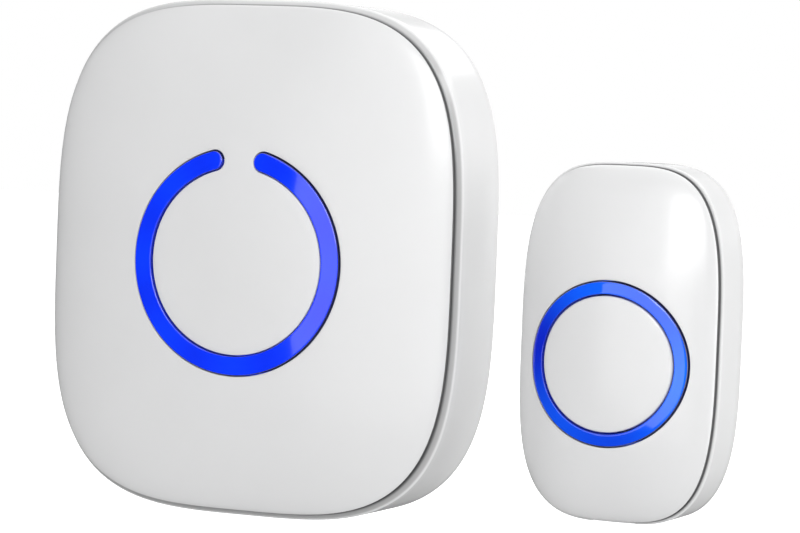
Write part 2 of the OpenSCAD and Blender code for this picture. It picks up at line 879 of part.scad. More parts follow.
// A side key: its cap in the wall, the flange behind the wall and the stem to its switch
module side_key(v) {
    wall_u = half_width(receiver_a + rim_bevel, receiver_b + rim_bevel, receiver_fullness, v);
    far = abs(v) + key_flange_l / 2;
    inner_u = half_width(receiver_a + housing_grow, receiver_b + housing_grow, receiver_fullness, far);
    flange_top = inner_u - key_clearance / 2;
    flange_back = flange_top - key_flange_t;
    color("lightgray") upright() key_side(v) {
        prism(rounded(key_w, key_l, key_w / 2 - key_clearance), flange_back, wall_u + key_proud);
        prism(rounded(key_flange_w, key_flange_l, key_w / 2), flange_back, flange_top);
        rod(key_stem_r, -switch_face + plunger_out, flange_top - key_flange_t / 2);
    }
}

module key_plunger(v) {
    color("dimgray") upright() key_side(v)
        rod(plunger_r, -switch_face - plunger_in, -switch_face + plunger_out);
}

module volume_key() {
    side_key(key_places[0]);
}

module volume_plunger() {
    key_plunger(key_places[0]);
}

module next_melody_key() {
    side_key(key_places[1]);
}

module next_melody_plunger() {
    key_plunger(key_places[1]);
}

module previous_melody_key() {
    side_key(key_places[2]);
}

module previous_melody_plunger() {
    key_plunger(key_places[2]);
}

// The transmitter's dome, from the height low upward
module transmitter_dome(low) {
    pillow(transmitter_a, transmitter_b, transmitter_fullness, shell_crown, shell_edge,
           shell_rim, shell_rim - low, transmitter_steps, dome_steps);
}

module at_button() {
    translate([0, -button_drop, 0]) children();
}

module transmitter_cavity() {
    pillow(transmitter_a + shell_cavity_grow, transmitter_b + shell_cavity_grow, transmitter_fullness,
           shell_crown, shell_shift, shell_rim, shell_rim - shell_tongue_end + past,
           transmitter_steps, cavity_steps);
}

module transmitter_front_shell() {
    top = shell_rim + shell_crown + shell_edge;
    color("whitesmoke") on_transmitter() difference() {
        union() {
            transmitter_dome(shell_rim - lap);
            prism(transmitter_outline(shell_tongue_grow), shell_tongue_end, shell_rim + shell_edge / 4);
        }
        difference() {
            transmitter_cavity();
            at_button() rod(button_ring_ro + ring_groove + 2 * button_flange, button_ring_seat, top);
            at_corners(small_posts) rod(small_post_r, small_board_face, top);
        }
        at_button() rod(button_ring_ro + ring_groove, button_ring_seat - past, top + past);
        at_corners(small_posts)
            rod(tiny_pilot_r, small_board_face - past, small_board_face + tiny_grip + tiny_spare);
    }
}

module transmitter_light_ring() {
    top = shell_rim + shell_crown + shell_edge + past;
    color("blue") on_transmitter() {
        intersection() {
            at_button() tube(button_ring_ro, button_ring_ri, button_ring_foot, top);
            lift(ring_proud) transmitter_dome(button_ring_foot - past);
        }
        at_button()
            tube(button_ring_ro + button_flange, button_ring_ri, button_ring_foot, button_ring_seat);
    }
}

module push_button() {
    tab_t = button_ring_foot - tab_gap - button_foot;
    color("whitesmoke") on_transmitter() {
        difference() {
            intersection() {
                at_button() rod(button_r, button_foot, shell_rim + shell_crown + shell_edge + past);
                lift(ring_proud / 2) transmitter_dome(button_foot - past);
            }
            at_button() rod(button_r - button_wall, button_foot - past, button_pocket);
        }
        at_button() {
            rod(stem_r, switch_top + push_out, button_pocket + button_wall / 2);
            for (turn = tab_turns)
                rotate(turn)
                    translate([button_r - button_wall / 2, -tab_w / 2, button_foot])
                        cube([button_wall / 2 + tab_reach, tab_w, tab_t]);
        }
    }
}

module transmitter_base() {
    rings = concat(
        [transmitter_level(base_bevel - base_round, -past)],
        [for (r = round_back(base_round, 0, base_bevel)) transmitter_level(r[1], r[0])],
        [transmitter_level(base_bevel, transmitter_seam - base_bevel)],
        [transmitter_level(0, transmitter_seam)]
    );
    color("white") on_transmitter() difference() {
        loft(rings);
        block([2 * transmitter_w, 2 * transmitter_h, 2 * past], [0, 0], -2 * past);
        prism(transmitter_outline(ledge_grow), base_floor, ledge + past);
        prism(transmitter_outline(base_grow), ledge, transmitter_seam + past);
        for (v = [-1, 1]) translate([0, v * wall_hole_pitch / 2, 0]) {
            rod(wall_hole_d / 2, -past, base_floor + past);
            rod(wall_hole_sink_r, base_floor - wall_hole_sink, base_floor + past);
        }
        block([notch_w, 2 * notch_depth, notch_t + past], [0, -transmitter_b - base_bevel],
              transmitter_seam - notch_t);
    }
}

module transmitter_seal() {
    color("dimgray") on_transmitter() difference() {
        prism(transmitter_outline(base_grow - seal_inset), ledge, shell_tongue_end);
        prism(transmitter_outline(ledge_grow + seal_inset), ledge - past, shell_tongue_end + past);
    }
}

module transmitter_board() {
    color("darkgreen") on_transmitter() difference() {
        prism(transmitter_outline(small_board_grow), small_board_back, small_board_face);
        at_corners(small_posts)
            rod(tiny_screw_r + hole_clearance, small_board_back - past, small_board_face + past);
    }
}

module transmitter_leds() {
    color("lightyellow") on_transmitter() at_button() for (turn = small_led_turns)
        rotate(turn)
            block([led_size[0], led_size[1], small_led_t], [small_led_at, 0], small_board_face);
}

module button_switch() {
    color("black") on_transmitter() at_button() difference() {
        block([switch_w, switch_w, switch_t], [0, 0], small_board_face);
        rod(push_r + plunger_fit, switch_top - push_in - button_travel - plunger_spare, switch_top + past);
    }
}

module button_switch_plunger() {
    color("dimgray") on_transmitter() at_button() rod(push_r, switch_top - push_in, switch_top + push_out);
}

module coin_cell() {
    r = coin_d / 2;
    side = [
        [0, coin_back], [r - coin_chamfer, coin_back], [r, coin_back + coin_chamfer],
        [r, coin_face - coin_chamfer], [r - coin_chamfer, coin_face], [0, coin_face]
    ];
    color("silver") on_transmitter() at_button() rotate_extrude() polygon(side);
}

// A strap under the coin cell, with legs up to the board
module coin_cell_clip() {
    reach = coin_d / 2 + clip_gap;
    leg_l = small_board_back - coin_back;
    color("goldenrod") on_transmitter() at_button() difference() {
        block([2 * (reach + clip_t), clip_w, leg_l + clip_t], [0, 0], coin_back - clip_t);
        block([2 * reach, 2 * clip_w, leg_l + past], [0, 0], coin_back);
    }
}

module coin_cell_contact() {
    color("goldenrod") on_transmitter() at_button() rod(contact_r, coin_face, small_board_back);
}

module radio_chip() {
    color("black") on_transmitter()
        block(radio_chip_size, [0, radio_chip_v], small_board_back - radio_chip_size[2]);
}

module transmitter_antenna() {
    color("chocolate") on_transmitter()
        translate([0, small_antenna_v, small_board_face + small_antenna_r + wire_r + seat_slack])
            coil(small_antenna_r, small_antenna_turns);
}

module transmitter_screws() {
    color("silver") on_transmitter() at_corners(small_posts)
        screw(tiny_screw_r, tiny_head_r, tiny_head_t, small_board_t + tiny_grip, small_board_back);
}

receiver_front_cover();
receiver_light_ring();
receiver_rear_housing();
housing_screws();
plug_blades();
blade_carrier();
carrier_screws();
main_board();
ring_leds();
melody_chip();
radio_module();
receiver_antenna();
power_board();
film_capacitor();
reservoir_capacitor();
fuse_resistor();
rectifier();
board_link();
mains_leads();
board_screws();
speaker_basket();
speaker_magnet();
speaker_cone();
speaker_leads();
key_switches();
volume_key();
volume_plunger();
next_melody_key();
next_melody_plunger();
previous_melody_key();
previous_melody_plunger();
transmitter_front_shell();
transmitter_light_ring();
push_button();
transmitter_base();
transmitter_seal();
transmitter_board();
transmitter_leds();
button_switch();
button_switch_plunger();
coin_cell();
coin_cell_clip();
coin_cell_contact();
radio_chip();
transmitter_antenna();
transmitter_screws();
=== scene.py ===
# %% [markdown]
# # A wireless doorbell: the chime receiver and its push button
#
# Two white plastic units stand side by side: a big receiver that plugs into a wall outlet and shows an open
# blue light ring, and a slim transmitter whose push button sits in a closed blue ring. The CAD frame
# already holds every piece at its place. This lesson gives the shells their smooth skins and all pieces
# their finish.

# %% Load the frame
from types import SimpleNamespace

import bmesh
import bpy
import numpy as np
from mathutils import Matrix, Vector, geometry


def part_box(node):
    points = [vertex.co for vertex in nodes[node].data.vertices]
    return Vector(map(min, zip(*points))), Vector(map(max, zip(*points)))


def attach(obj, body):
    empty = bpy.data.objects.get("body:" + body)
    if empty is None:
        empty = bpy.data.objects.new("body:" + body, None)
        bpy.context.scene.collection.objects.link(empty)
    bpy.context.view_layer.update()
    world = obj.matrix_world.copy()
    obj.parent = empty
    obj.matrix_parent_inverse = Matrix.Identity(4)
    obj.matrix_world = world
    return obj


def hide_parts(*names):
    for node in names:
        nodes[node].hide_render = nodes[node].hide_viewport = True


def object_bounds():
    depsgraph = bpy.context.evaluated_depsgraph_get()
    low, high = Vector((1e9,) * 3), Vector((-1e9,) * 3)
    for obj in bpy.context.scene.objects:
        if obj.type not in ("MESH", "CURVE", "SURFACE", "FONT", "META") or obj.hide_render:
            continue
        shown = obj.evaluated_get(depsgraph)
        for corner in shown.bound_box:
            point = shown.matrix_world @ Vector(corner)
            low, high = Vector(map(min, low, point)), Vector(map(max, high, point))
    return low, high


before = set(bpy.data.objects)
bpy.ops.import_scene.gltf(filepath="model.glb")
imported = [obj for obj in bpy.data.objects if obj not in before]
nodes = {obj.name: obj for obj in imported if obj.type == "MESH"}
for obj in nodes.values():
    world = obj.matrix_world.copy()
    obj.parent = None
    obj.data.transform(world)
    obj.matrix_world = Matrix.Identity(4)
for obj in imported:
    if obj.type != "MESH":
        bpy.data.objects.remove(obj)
cad_low, cad_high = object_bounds()
MM = 0.001

# %% [markdown]
# ## The camera
#
# The picture was taken with a long lens, from the right of the units. A camera is a turn and a shift: here
# the three turns and the shift were fitted to the seams, outlines and rings of the picture. The lens
# follows from the focal length in pixels, because the sensor's width covers the picture's 800 pixels.

# %% Camera at the picture's viewing angle
PICTURE_WIDTH_PX = 800
FOCAL_PX = 3200
SENSOR_MM = 36
TILT, TURN, ROLL = np.radians([2.439, 23.799, 2.257])
SHIFT_MM = Vector((-18.564, -1.885, 587.067))


def new_object(name, data):
    """A new object in the scene, with a camera, a mesh or a lamp as its data."""
    made = bpy.data.objects.new(name, data)
    bpy.context.scene.collection.objects.link(made)
    return made


# Rows of these matrices are the picture's right, down and forward directions in the units' own frame
wall_to_picture = Matrix(((1, 0, 0), (0, 0, -1), (0, 1, 0)))
look = (Matrix.Rotation(ROLL, 3, "Z") @ Matrix.Rotation(TILT, 3, "X") @ Matrix.Rotation(TURN, 3, "Y")
        @ wall_to_picture)
lens = bpy.data.cameras.new("picture_lens")
lens.sensor_width = SENSOR_MM
lens.lens = FOCAL_PX / PICTURE_WIDTH_PX * SENSOR_MM
lens.clip_start = 0.01
camera = new_object("picture_camera", lens)
pose = Matrix((look[0], -look[1], -look[2])).transposed().to_4x4()
pose.translation = -(look.transposed() @ SHIFT_MM) * MM
camera.matrix_world = pose
bpy.context.scene.camera = camera
print("camera at", [round(value, 3) for value in camera.location], "lens", lens.lens, "forward", look[2])

# %% [markdown]
# ## Sizes from the frame
#
# A skin that replaces a CAD node has to lie where the node lies, so the big sizes are read from the nodes'
# boxes. Only what a box can't tell, such as a groove or a wall, is written as a number. Everything is in
# millimetres, in a unit's own directions: u to the right, v up and w out of the wall. A unit's a, b and n are
# the half width, the half height and the fullness of its outline. Names that end in _L, _W, _H, _T or _R
# are a length, a width, a height, a thickness or a radius.

# %% Unit sizes
SEAM_GAP = 0.9
EDGE_POWER = 5
RING_PROUD = 0.4
BUTTON_PROUD = RING_PROUD / 2


def box_mm(node):
    """Lowest and highest corner of a CAD node, in millimetres."""
    low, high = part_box(node)
    return np.array(low) / MM, np.array(high) / MM


def unit_sizes(front, back, top, fullness, edge):
    """Half sizes of a unit's dome, its place and the heights of its seam, rim and crown, from two boxes.

    The top is the height of the dome's middle over the wall."""
    low, high = box_mm(front)
    back_low, back_high = box_mm(back)
    seam = -back_low[1]
    rim = seam + SEAM_GAP
    return SimpleNamespace(
        x=(low[0] + high[0]) / 2, z=(low[2] + high[2]) / 2,
        a=(high[0] - low[0]) / 2, b=(high[2] - low[2]) / 2, n=fullness,
        seam=seam, rim=rim, edge=edge, crown=top - rim - edge,
        bevel=(back_high[2] - back_low[2]) / 2 - (high[2] - low[2]) / 2)


receiver = unit_sizes("receiver_front_cover", "receiver_rear_housing",
                      -box_mm("receiver_front_cover")[0][1], fullness=3.5, edge=2.6)
transmitter = unit_sizes("transmitter_front_shell", "transmitter_base",
                         -box_mm("push_button")[0][1] - BUTTON_PROUD, fullness=3.45, edge=2.6)
for unit in (receiver, transmitter):
    print({name: round(float(value), 3) for name, value in vars(unit).items()})

# %% [markdown]
# ## The shape of a dome
#
# Both units have the same pillow form. Its rim is a superellipse, a shape between an ellipse and a
# rectangle, and its contours become plain ellipses towards the middle. The height falls gently like a
# parabola and then quickly at the edge. A grid of rings would be enough for a plain pillow, but the light
# rings need slots in it, so the height is also worked out for any point of the plan.

# %% Dome formulas
HALVINGS = 44


def outline(a, b, n, turn):
    """Superellipse: a times the cosine and b times the sine, each to the power 2 / n with its sign kept."""
    c, s = np.cos(turn), np.sin(turn)
    power = 2 / n
    return np.stack([a * np.sign(c) * np.abs(c) ** power, b * np.sign(s) * np.abs(s) ** power], axis=-1)


def fullness_at(n, share):
    """A contour's fullness: 2, an ellipse, in the middle, growing with the share's square to n at the rim."""
    return 2 + (n - 2) * share ** 2


def contour(unit, share, turn, shrink=0.0):
    """A contour of a unit's dome, which may be shrunk: an outline with a share of the rim's half sizes."""
    a, b = unit.a - shrink, unit.b - shrink
    return outline(a * share, b * share, fullness_at(unit.n, share), turn)


def swell(share, crown, edge):
    """Height over the rim: crown times one less the share squared, plus a rounded edge that ends upright.

    The edge is its height times the square root of one less the share to the edge's power."""
    return crown * (1 - share ** 2) + edge * np.sqrt(np.clip(1 - share ** EDGE_POWER, 0, 1))


def share_at(plan, a, b, n):
    """The share of the contour through each point, found for all points at once by halving an interval.

    A point lies beyond a contour where its two parts over the contour's half sizes, each to the power of the
    contour's fullness, add up to more than one."""
    low, high = np.zeros(plan.shape[:-1]), np.ones(plan.shape[:-1])
    for _ in range(HALVINGS):
        middle = (low + high) / 2
        power = fullness_at(n, middle)
        reach = np.abs(plan) / (np.array([a, b]) * middle[..., None])
        beyond = (reach ** power[..., None]).sum(axis=-1) > 1
        low, high = np.where(beyond, middle, low), np.where(beyond, high, middle)
    return high


def dome_height(unit, plan, shrink=0.0, edge=None):
    """Height of a unit's dome over a plan point: its rim and the swell at the share of the point's contour.

    A shrunk dome with its own edge is the shell's inside."""
    share = share_at(plan, unit.a - shrink, unit.b - shrink, unit.n)
    return unit.rim + swell(share, unit.crown, unit.edge if edge is None else edge)


print("receiver dome at its middle", dome_height(receiver, np.zeros((1, 2))))

# %% [markdown]
# ## From arrays to a piece
#
# Every skin is put together from two kinds of surface: a grid, which is a stack of loops with the same
# number of points, and a flat face with holes, which a triangulation fills. Points on shared edges are
# worked out from the same loops, so a weld closes the piece. Blender then turns all faces outward, and
# edges that fold sharply are marked so that the smooth shading stops there.

# %% Grids of loops
def grid(points, closed=True):
    """Quads between the rows of a (rows, columns, 3) array. A closed grid joins its last column and first."""
    rows, columns = points.shape[:2]
    low = np.arange(rows - 1)[:, None] * columns
    here = np.arange(columns if closed else columns - 1)[None, :]
    there = (here + 1) % columns
    quads = np.stack([low + here, low + there, low + columns + there, low + columns + here], axis=-1)
    return points.reshape(-1, 3), quads.reshape(-1, 4)


def stack(*rows):
    """Loops of plan points, each with one height or a height for each point, as the rows of a grid."""
    return np.stack([np.column_stack([plan, np.broadcast_to(height, len(plan))]) for plan, height in rows])


print("quads of a grid of 3 loops with 4 points", len(grid(np.zeros((3, 4, 3)))[1]))


# %% Loops and profiles
def polar(radius, turn):
    """Points at a radius and a turn about the origin."""
    return np.stack(np.broadcast_arrays(radius * np.cos(turn), radius * np.sin(turn)), axis=-1)


def circle_loop(radius, middle=(0.0, 0.0), count=40):
    """Points round a circle, anticlockwise."""
    turn = np.linspace(0, 2 * np.pi, count, endpoint=False)
    return np.array(middle) + polar(radius, turn)


def rounded_loop(width, height, radius, middle=(0.0, 0.0), steps=8, inward=0.0):
    """A rectangle with rounded corners, anticlockwise: four quarter circles, drawn an amount further in."""
    bend = np.linspace(0, np.pi / 2, steps + 1)
    turn = np.concatenate([bend + k * np.pi / 2 for k in range(4)])
    signs = np.array([[1, 1], [-1, 1], [-1, -1], [1, -1]]).repeat(steps + 1, axis=0)
    corners = signs * np.array([width / 2 - radius, height / 2 - radius])
    return np.array(middle) + corners + polar(radius - inward, turn)


def rows_of(make, *pairs):
    """Rows for a stack: a loop made from each pair's measure, at the pair's height."""
    return [(make(measure), height) for measure, height in pairs]


def revolve(profile, middle=(0.0, 0.0), count=40):
    """A grid of circles: a profile of (radius, height) pairs carried round an axis out of the wall."""
    return grid(stack(*[(circle_loop(radius, middle, count), height) for radius, height in profile]))


def quarter(radius, steps=4):
    """Inward and downward offsets of a rounded edge, from the flat face round to the wall."""
    turn = np.linspace(0, np.pi / 2, steps + 1)
    return list(zip(radius * (1 - np.sin(turn)), radius * (1 - np.cos(turn))))


print("points of a rounded rectangle", len(rounded_loop(4, 2, 0.5)))


# %% Flat faces with holes
def inside(loop, points):
    """True for the points that lie left of every side of a convex loop that runs anticlockwise."""
    sides = np.roll(loop, -1, axis=0) - loop
    offset = points[:, None] - loop[None]
    return np.all(sides[:, 0] * offset[..., 1] - sides[:, 1] * offset[..., 0] >= 0, axis=1)


def flat_face(border, holes, height):
    """A flat face at one height: the triangles between a convex border and its convex holes."""
    loops = [border, *holes]
    starts = np.cumsum([0] + [len(loop) for loop in loops])
    sides = [(int(first + i), int(first + (i + 1) % len(loop)))
             for first, loop in zip(starts, loops) for i in range(len(loop))]
    corners = [Vector(point) for point in np.vstack(loops)]
    found, _, faces, *_ = geometry.delaunay_2d_cdt(corners, sides, [], 0, 1e-7)
    points, triangles = np.array([tuple(point) for point in found]), np.array(faces)
    middles = points[triangles].mean(axis=1)
    cut = [inside(loop, middles) for loop in holes]
    kept = ~np.any(cut, axis=0) if holes else np.ones(len(triangles), bool)
    return np.column_stack([points, np.full(len(points), height)]), triangles[kept]


print("triangles between two circles", len(flat_face(circle_loop(2), [circle_loop(1)], 0.0)[1]))

# %% From surfaces to a piece
WELD = 2e-7
SHARP_EDGE = np.radians(28)


def make_piece(name, surfaces, unit, body, finish, slot, *replaced, turned=False):
    """Welds surfaces to one closed piece, in metres in the frame, hands it to its body and hides its CAD
    node.

    A surface holds (u, v, w) points, which become x, -w and z. A turned one has frame directions already."""
    counts = np.cumsum([0] + [len(points) for points, _ in surfaces])
    local = np.vstack([points for points, _ in surfaces])
    if turned:
        placed = local
    else:
        placed = np.column_stack([local[:, 0] + unit.x, -local[:, 2], local[:, 1] + unit.z])
    faces = [face for first, (_, polygons) in zip(counts, surfaces) for face in (polygons + first).tolist()]
    mesh = bpy.data.meshes.new(name)
    mesh.from_pydata((placed * MM).tolist(), [], faces)
    work = bmesh.new()
    work.from_mesh(mesh)
    bmesh.ops.remove_doubles(work, verts=work.verts, dist=WELD)
    bmesh.ops.dissolve_degenerate(work, edges=work.edges, dist=WELD)
    bmesh.ops.recalc_face_normals(work, faces=work.faces)
    open_edges = sum(1 for edge in work.edges if len(edge.link_faces) != 2)
    work.to_mesh(mesh)
    work.free()
    mesh.shade_smooth()
    mesh.set_sharp_from_angle(angle=SHARP_EDGE)
    mesh.materials.append(finish)
    piece = new_object(name, mesh)
    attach(piece, body)
    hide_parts(*replaced)
    print(name, "faces", len(mesh.polygons), "open edges", open_edges)
    return piece


print("points within", round(WELD / MM, 5), "mm become one")

# %% [markdown]
# ## Finishes
#
# Good plastic isn't one flat colour: the mould leaves a faint grain, the tone drifts a little over the
# surface and handling leaves the gloss uneven. One node group makes these from the Object coordinates, so
# that the grain keeps its real size, and each material uses it with its own values. A second group gives
# the lines of brushed metal, and a third the copper tracks under a circuit board's green lacquer.

# %% Node helpers
def new_group(name, inputs, outputs):
    """An empty shader node group with float or vector inputs and float outputs, and its two end nodes."""
    tree = bpy.data.node_groups.new(name, "ShaderNodeTree")
    for socket, kind, value in inputs:
        made = tree.interface.new_socket(socket, in_out="INPUT", socket_type=kind)
        if value is not None:
            made.default_value = value
    for socket in outputs:
        tree.interface.new_socket(socket, in_out="OUTPUT", socket_type="NodeSocketFloat")
    return tree, tree.nodes.new("NodeGroupInput"), tree.nodes.new("NodeGroupOutput")


def feed(tree, node, **values):
    """Sets a node's inputs to values or links them to sockets, by name or, after an i, by number."""
    for name, value in values.items():
        socket = node.inputs[int(name[1:]) if name[1:].isdigit() else name.replace("_", " ")]
        if isinstance(value, bpy.types.NodeSocket):
            tree.links.new(value, socket)
        else:
            socket.default_value = value
    return node


def add(tree, kind, settings=None, **values):
    """A new node with its settings and inputs."""
    node = tree.nodes.new(kind)
    for setting, value in (settings or {}).items():
        setattr(node, setting, value)
    return feed(tree, node, **values)


def sums(tree, kind, *values):
    """A Math node of one kind, such as MULTIPLY, on values or sockets."""
    named = {f"i{k}": value for k, value in enumerate(values)}
    return add(tree, "ShaderNodeMath", {"operation": kind}, **named).outputs[0]


def ramp(tree, value, start, end, low=0.0, high=1.0):
    """A value that goes evenly from low to high as another goes from start to end, and stays level beyond."""
    return add(tree, "ShaderNodeMapRange", Value=value, From_Min=start, From_Max=end, To_Min=low,
               To_Max=high).outputs["Result"]


def mix_colours(tree, share, first, second):
    """The colour a share of the way from a first to a second one. Each is three numbers or a socket."""
    ends = [end if isinstance(end, bpy.types.NodeSocket) else (*end, 1) for end in (first, second)]
    return add(tree, "ShaderNodeMix", {"data_type": "RGBA"}, i0=share, i6=ends[0], i7=ends[1]).outputs[2]


def noise(tree, place, scale, detail, roughness=0.5):
    """The value of a noise texture at a place."""
    return add(tree, "ShaderNodeTexNoise", Vector=place, Scale=scale, Detail=detail,
               Roughness=roughness).outputs["Fac"]


print("node helpers", [helper.__name__ for helper in (new_group, feed, add, sums, ramp, mix_colours, noise)])

# %% Pattern groups
FLOAT, VECTOR = "NodeSocketFloat", "NodeSocketVector"
GLOSS_DRIFT = 160.0


def moulded_group():
    """Grain and drift of moulded plastic: a fine noise for the grain and a slow one for the drift."""
    inputs = [("Vector", VECTOR, None), ("Grain Scale", FLOAT, 4000.0), ("Drift Scale", FLOAT, 45.0)]
    tree, start, end = new_group("moulded_skin", inputs, ["Grain", "Drift"])
    place, fine, slow = start.outputs[:3]
    feed(tree, end, Grain=noise(tree, place, fine, 2.0, 0.55), Drift=noise(tree, place, slow, 4.0))
    return tree


def brushed_group():
    """Lines of brushed metal: a noise stretched along one direction, and a slow drift of the gloss."""
    inputs = [("Vector", VECTOR, None), ("Stretch", VECTOR, (1.0, 1.0, 1.0)), ("Scale", FLOAT, 900.0)]
    tree, start, end = new_group("brushed_skin", inputs, ["Grain", "Drift"])
    place, stretch, scale = start.outputs[:3]
    stretched = add(tree, "ShaderNodeVectorMath", {"operation": "MULTIPLY"}, i0=place, i1=stretch).outputs[0]
    feed(tree, end, Grain=noise(tree, stretched, scale, 3.0), Drift=noise(tree, place, GLOSS_DRIFT, 3.0))
    return tree


def board_group():
    """Copper tracks and round pads on a board: the edges of cells, and discs round the cells' points."""
    inputs = [("Vector", VECTOR, None), ("Scale", FLOAT, 420.0)]
    tree, start, end = new_group("board_tracks", inputs, ["Tracks", "Pads"])
    for output, feature, limit in (("Tracks", "DISTANCE_TO_EDGE", 0.07), ("Pads", "F1", 0.16)):
        cells = add(tree, "ShaderNodeTexVoronoi", {"feature": feature}, Vector=start.outputs["Vector"],
                    Scale=start.outputs["Scale"], Randomness=0.35)
        feed(tree, end, **{output: sums(tree, "LESS_THAN", cells.outputs["Distance"], limit)})
    return tree


MOULDED, BRUSHED, BOARD = moulded_group(), brushed_group(), board_group()
print("pattern groups", [group.name for group in (MOULDED, BRUSHED, BOARD)])

# %% A finish from a pattern
# Painted shade for the seams: the seam attribute's share mixes this dark grey into a finish.
PAINTED_SHADE_ATTRIBUTE = "seam"
SEAM_PAINTED_SHADE = (0.09, 0.09, 0.092)
USUAL_DRIFT = (0.3, 0.7)
GRAIN_STRENGTH, GLOSS_SPREAD, COAT_ROUGHNESS = 0.3, 0.1, 0.2


def new_finish(name):
    """A material with its Principled shader, and the Object coordinates for its patterns."""
    material = bpy.data.materials.new(name)
    material.use_nodes = True
    tree = material.node_tree
    return material, tree, tree.nodes["Principled BSDF"], add(tree, "ShaderNodeTexCoord").outputs["Object"]


def drifting(tree, drift, low, high):
    """A value that runs from low to high as the drift goes from its usual low to its usual high."""
    return ramp(tree, drift, *USUAL_DRIFT, low, high)


def two_tone(tree, drift, colour, spread):
    """The colour, drifting between a share darker and a share lighter."""
    dark, light = np.array(colour) * (1 - spread), np.minimum(1, np.array(colour) * (1 + spread))
    return mix_colours(tree, drifting(tree, drift, 0.0, 1.0), dark, light)


def skin(name, colour, roughness, group=MOULDED, metallic=0.0, spread=0.02, depth=2e-6, coat=0.0, seam=False,
         **values):
    """A finish with a grain in its bump and a slow drift in its colour and its gloss.

    With a seam, painted shade darkens the colour where the piece's own seam attribute says so."""
    material, tree, shader, place = new_finish(name)
    grain, drift = add(tree, "ShaderNodeGroup", {"node_tree": group}, Vector=place, **values).outputs
    tone = two_tone(tree, drift, colour, spread)
    # Painted shade: the seam attribute darkens the colour in and beside the gaps.
    if seam:
        shade = add(tree, "ShaderNodeAttribute", {"attribute_name": PAINTED_SHADE_ATTRIBUTE}).outputs["Fac"]
        tone = mix_colours(tree, shade, tone, SEAM_PAINTED_SHADE)
    gloss = drifting(tree, drift, roughness * (1 - GLOSS_SPREAD), roughness * (1 + GLOSS_SPREAD))
    relief = add(tree, "ShaderNodeBump", Height=grain, Strength=GRAIN_STRENGTH, Distance=depth)
    feed(tree, shader, Base_Color=tone, Roughness=gloss, Normal=relief.outputs["Normal"], Metallic=metallic,
         Coat_Weight=coat, Coat_Roughness=COAT_ROUGHNESS)
    return material


print("the drift counts between", *USUAL_DRIFT)

# %% Plastic and metal finishes
# The cover and housing finishes take painted seam shade where a piece's seam attribute asks for it.
cover_gloss = skin("cover_gloss", (0.8, 0.802, 0.806), 0.24, spread=0.012, depth=6e-6, coat=0.5, seam=True,
                   Grain_Scale=2600.0)
housing_satin = skin("housing_satin", (0.82, 0.822, 0.825), 0.11, spread=0.015, depth=6e-6, seam=True,
                     Grain_Scale=3200.0)
key_satin = skin("key_satin", (0.70, 0.705, 0.715), 0.38, depth=1e-5, Grain_Scale=3200.0)
screw_steel = skin("screw_steel", (0.62, 0.62, 0.61), 0.3, BRUSHED, 1.0, 0.06, 4e-6, Stretch=(1, 0.2, 1))
blade_nickel = skin("blade_nickel", (0.72, 0.68, 0.58), 0.26, BRUSHED, 1.0, 0.05, 5e-6, Stretch=(1, 0.06, 1))
shell_finishes = (cover_gloss, housing_satin, key_satin, screw_steel, blade_nickel)
print("shell and metal finishes", [finish.name for finish in shell_finishes])

# %% [markdown]
# The light rings are polished light guides. Their blue is deep, and it swells and fades a little round
# each ring. Their side walls face into the groove and lie in its shade, which is painted: they are coloured
# almost navy, and darkest where they face away from the middle. A glowing shader alone would look flat, so
# this is a clear-coated blue with a weak glow: the ring looks lit without lighting the cover round it.

# %% Light guide finish
# Painted shade for the rings' side walls in the groove: the inner walls' navy and the outer walls' darker one
RING_INNER_WALL_SHADE, RING_OUTER_WALL_SHADE = (0.001, 0.012, 0.3), (0.001, 0.003, 0.06)
RING_GLOW = 0.35
RING_DRIFT, RING_ROUGHNESS = 130.0, (0.05, 0.08)
SHADED_WALL_FACING, FRONT_FACING = 0.45, 0.85


def ring_finish(name, middle, waves, dim, lit):
    """Polished blue where the surface faces the front, painted shade in navy on the walls that face sideways.

    The front's blue lies between a dim and a lit tone: half way, plus for each wave its strength times the
    cosine of its count times the turn from its crest. Walls that face outward are shaded darkest."""
    material, tree, shader, place = new_finish(name)
    pattern = add(tree, "ShaderNodeGroup", {"node_tree": MOULDED}, Vector=place, Drift_Scale=RING_DRIFT)
    normal = add(tree, "ShaderNodeTexCoord").outputs["Normal"]
    facing = add(tree, "ShaderNodeSeparateXYZ", Vector=normal).outputs
    # How far a point faces the front: the sideways walls take painted shade instead of the front's blue
    front = ramp(tree, sums(tree, "MULTIPLY", facing["Y"], -1.0), SHADED_WALL_FACING, FRONT_FACING)
    spot = add(tree, "ShaderNodeSeparateXYZ", Vector=place).outputs
    across = sums(tree, "SUBTRACT", spot["X"], middle[0] * MM)
    up = sums(tree, "SUBTRACT", spot["Z"], middle[1] * MM)
    turn = sums(tree, "ARCTAN2", up, across)
    share = 0.5
    for count, crest, strength in waves:
        from_crest = sums(tree, "SUBTRACT", turn, np.radians(crest))
        swing = sums(tree, "COSINE", sums(tree, "MULTIPLY", from_crest, count))
        share = sums(tree, "ADD", sums(tree, "MULTIPLY", swing, strength), share)
    outward = sums(tree, "ADD", sums(tree, "MULTIPLY", facing["X"], across),
                   sums(tree, "MULTIPLY", facing["Z"], up))
    # Painted shade on the walls, darkest where they face away from the middle
    wall = mix_colours(tree, sums(tree, "GREATER_THAN", outward, 0.0), RING_INNER_WALL_SHADE, RING_OUTER_WALL_SHADE)
    colour = mix_colours(tree, front, wall, mix_colours(tree, share, dim, lit))
    feed(tree, shader, Base_Color=colour, Emission_Color=colour, Emission_Strength=RING_GLOW, Coat_Weight=1.0,
         Specular_IOR_Level=0.7, Roughness=drifting(tree, pattern.outputs["Drift"], *RING_ROUGHNESS))
    return material


print("ring glow", RING_GLOW, "roughness", RING_ROUGHNESS)


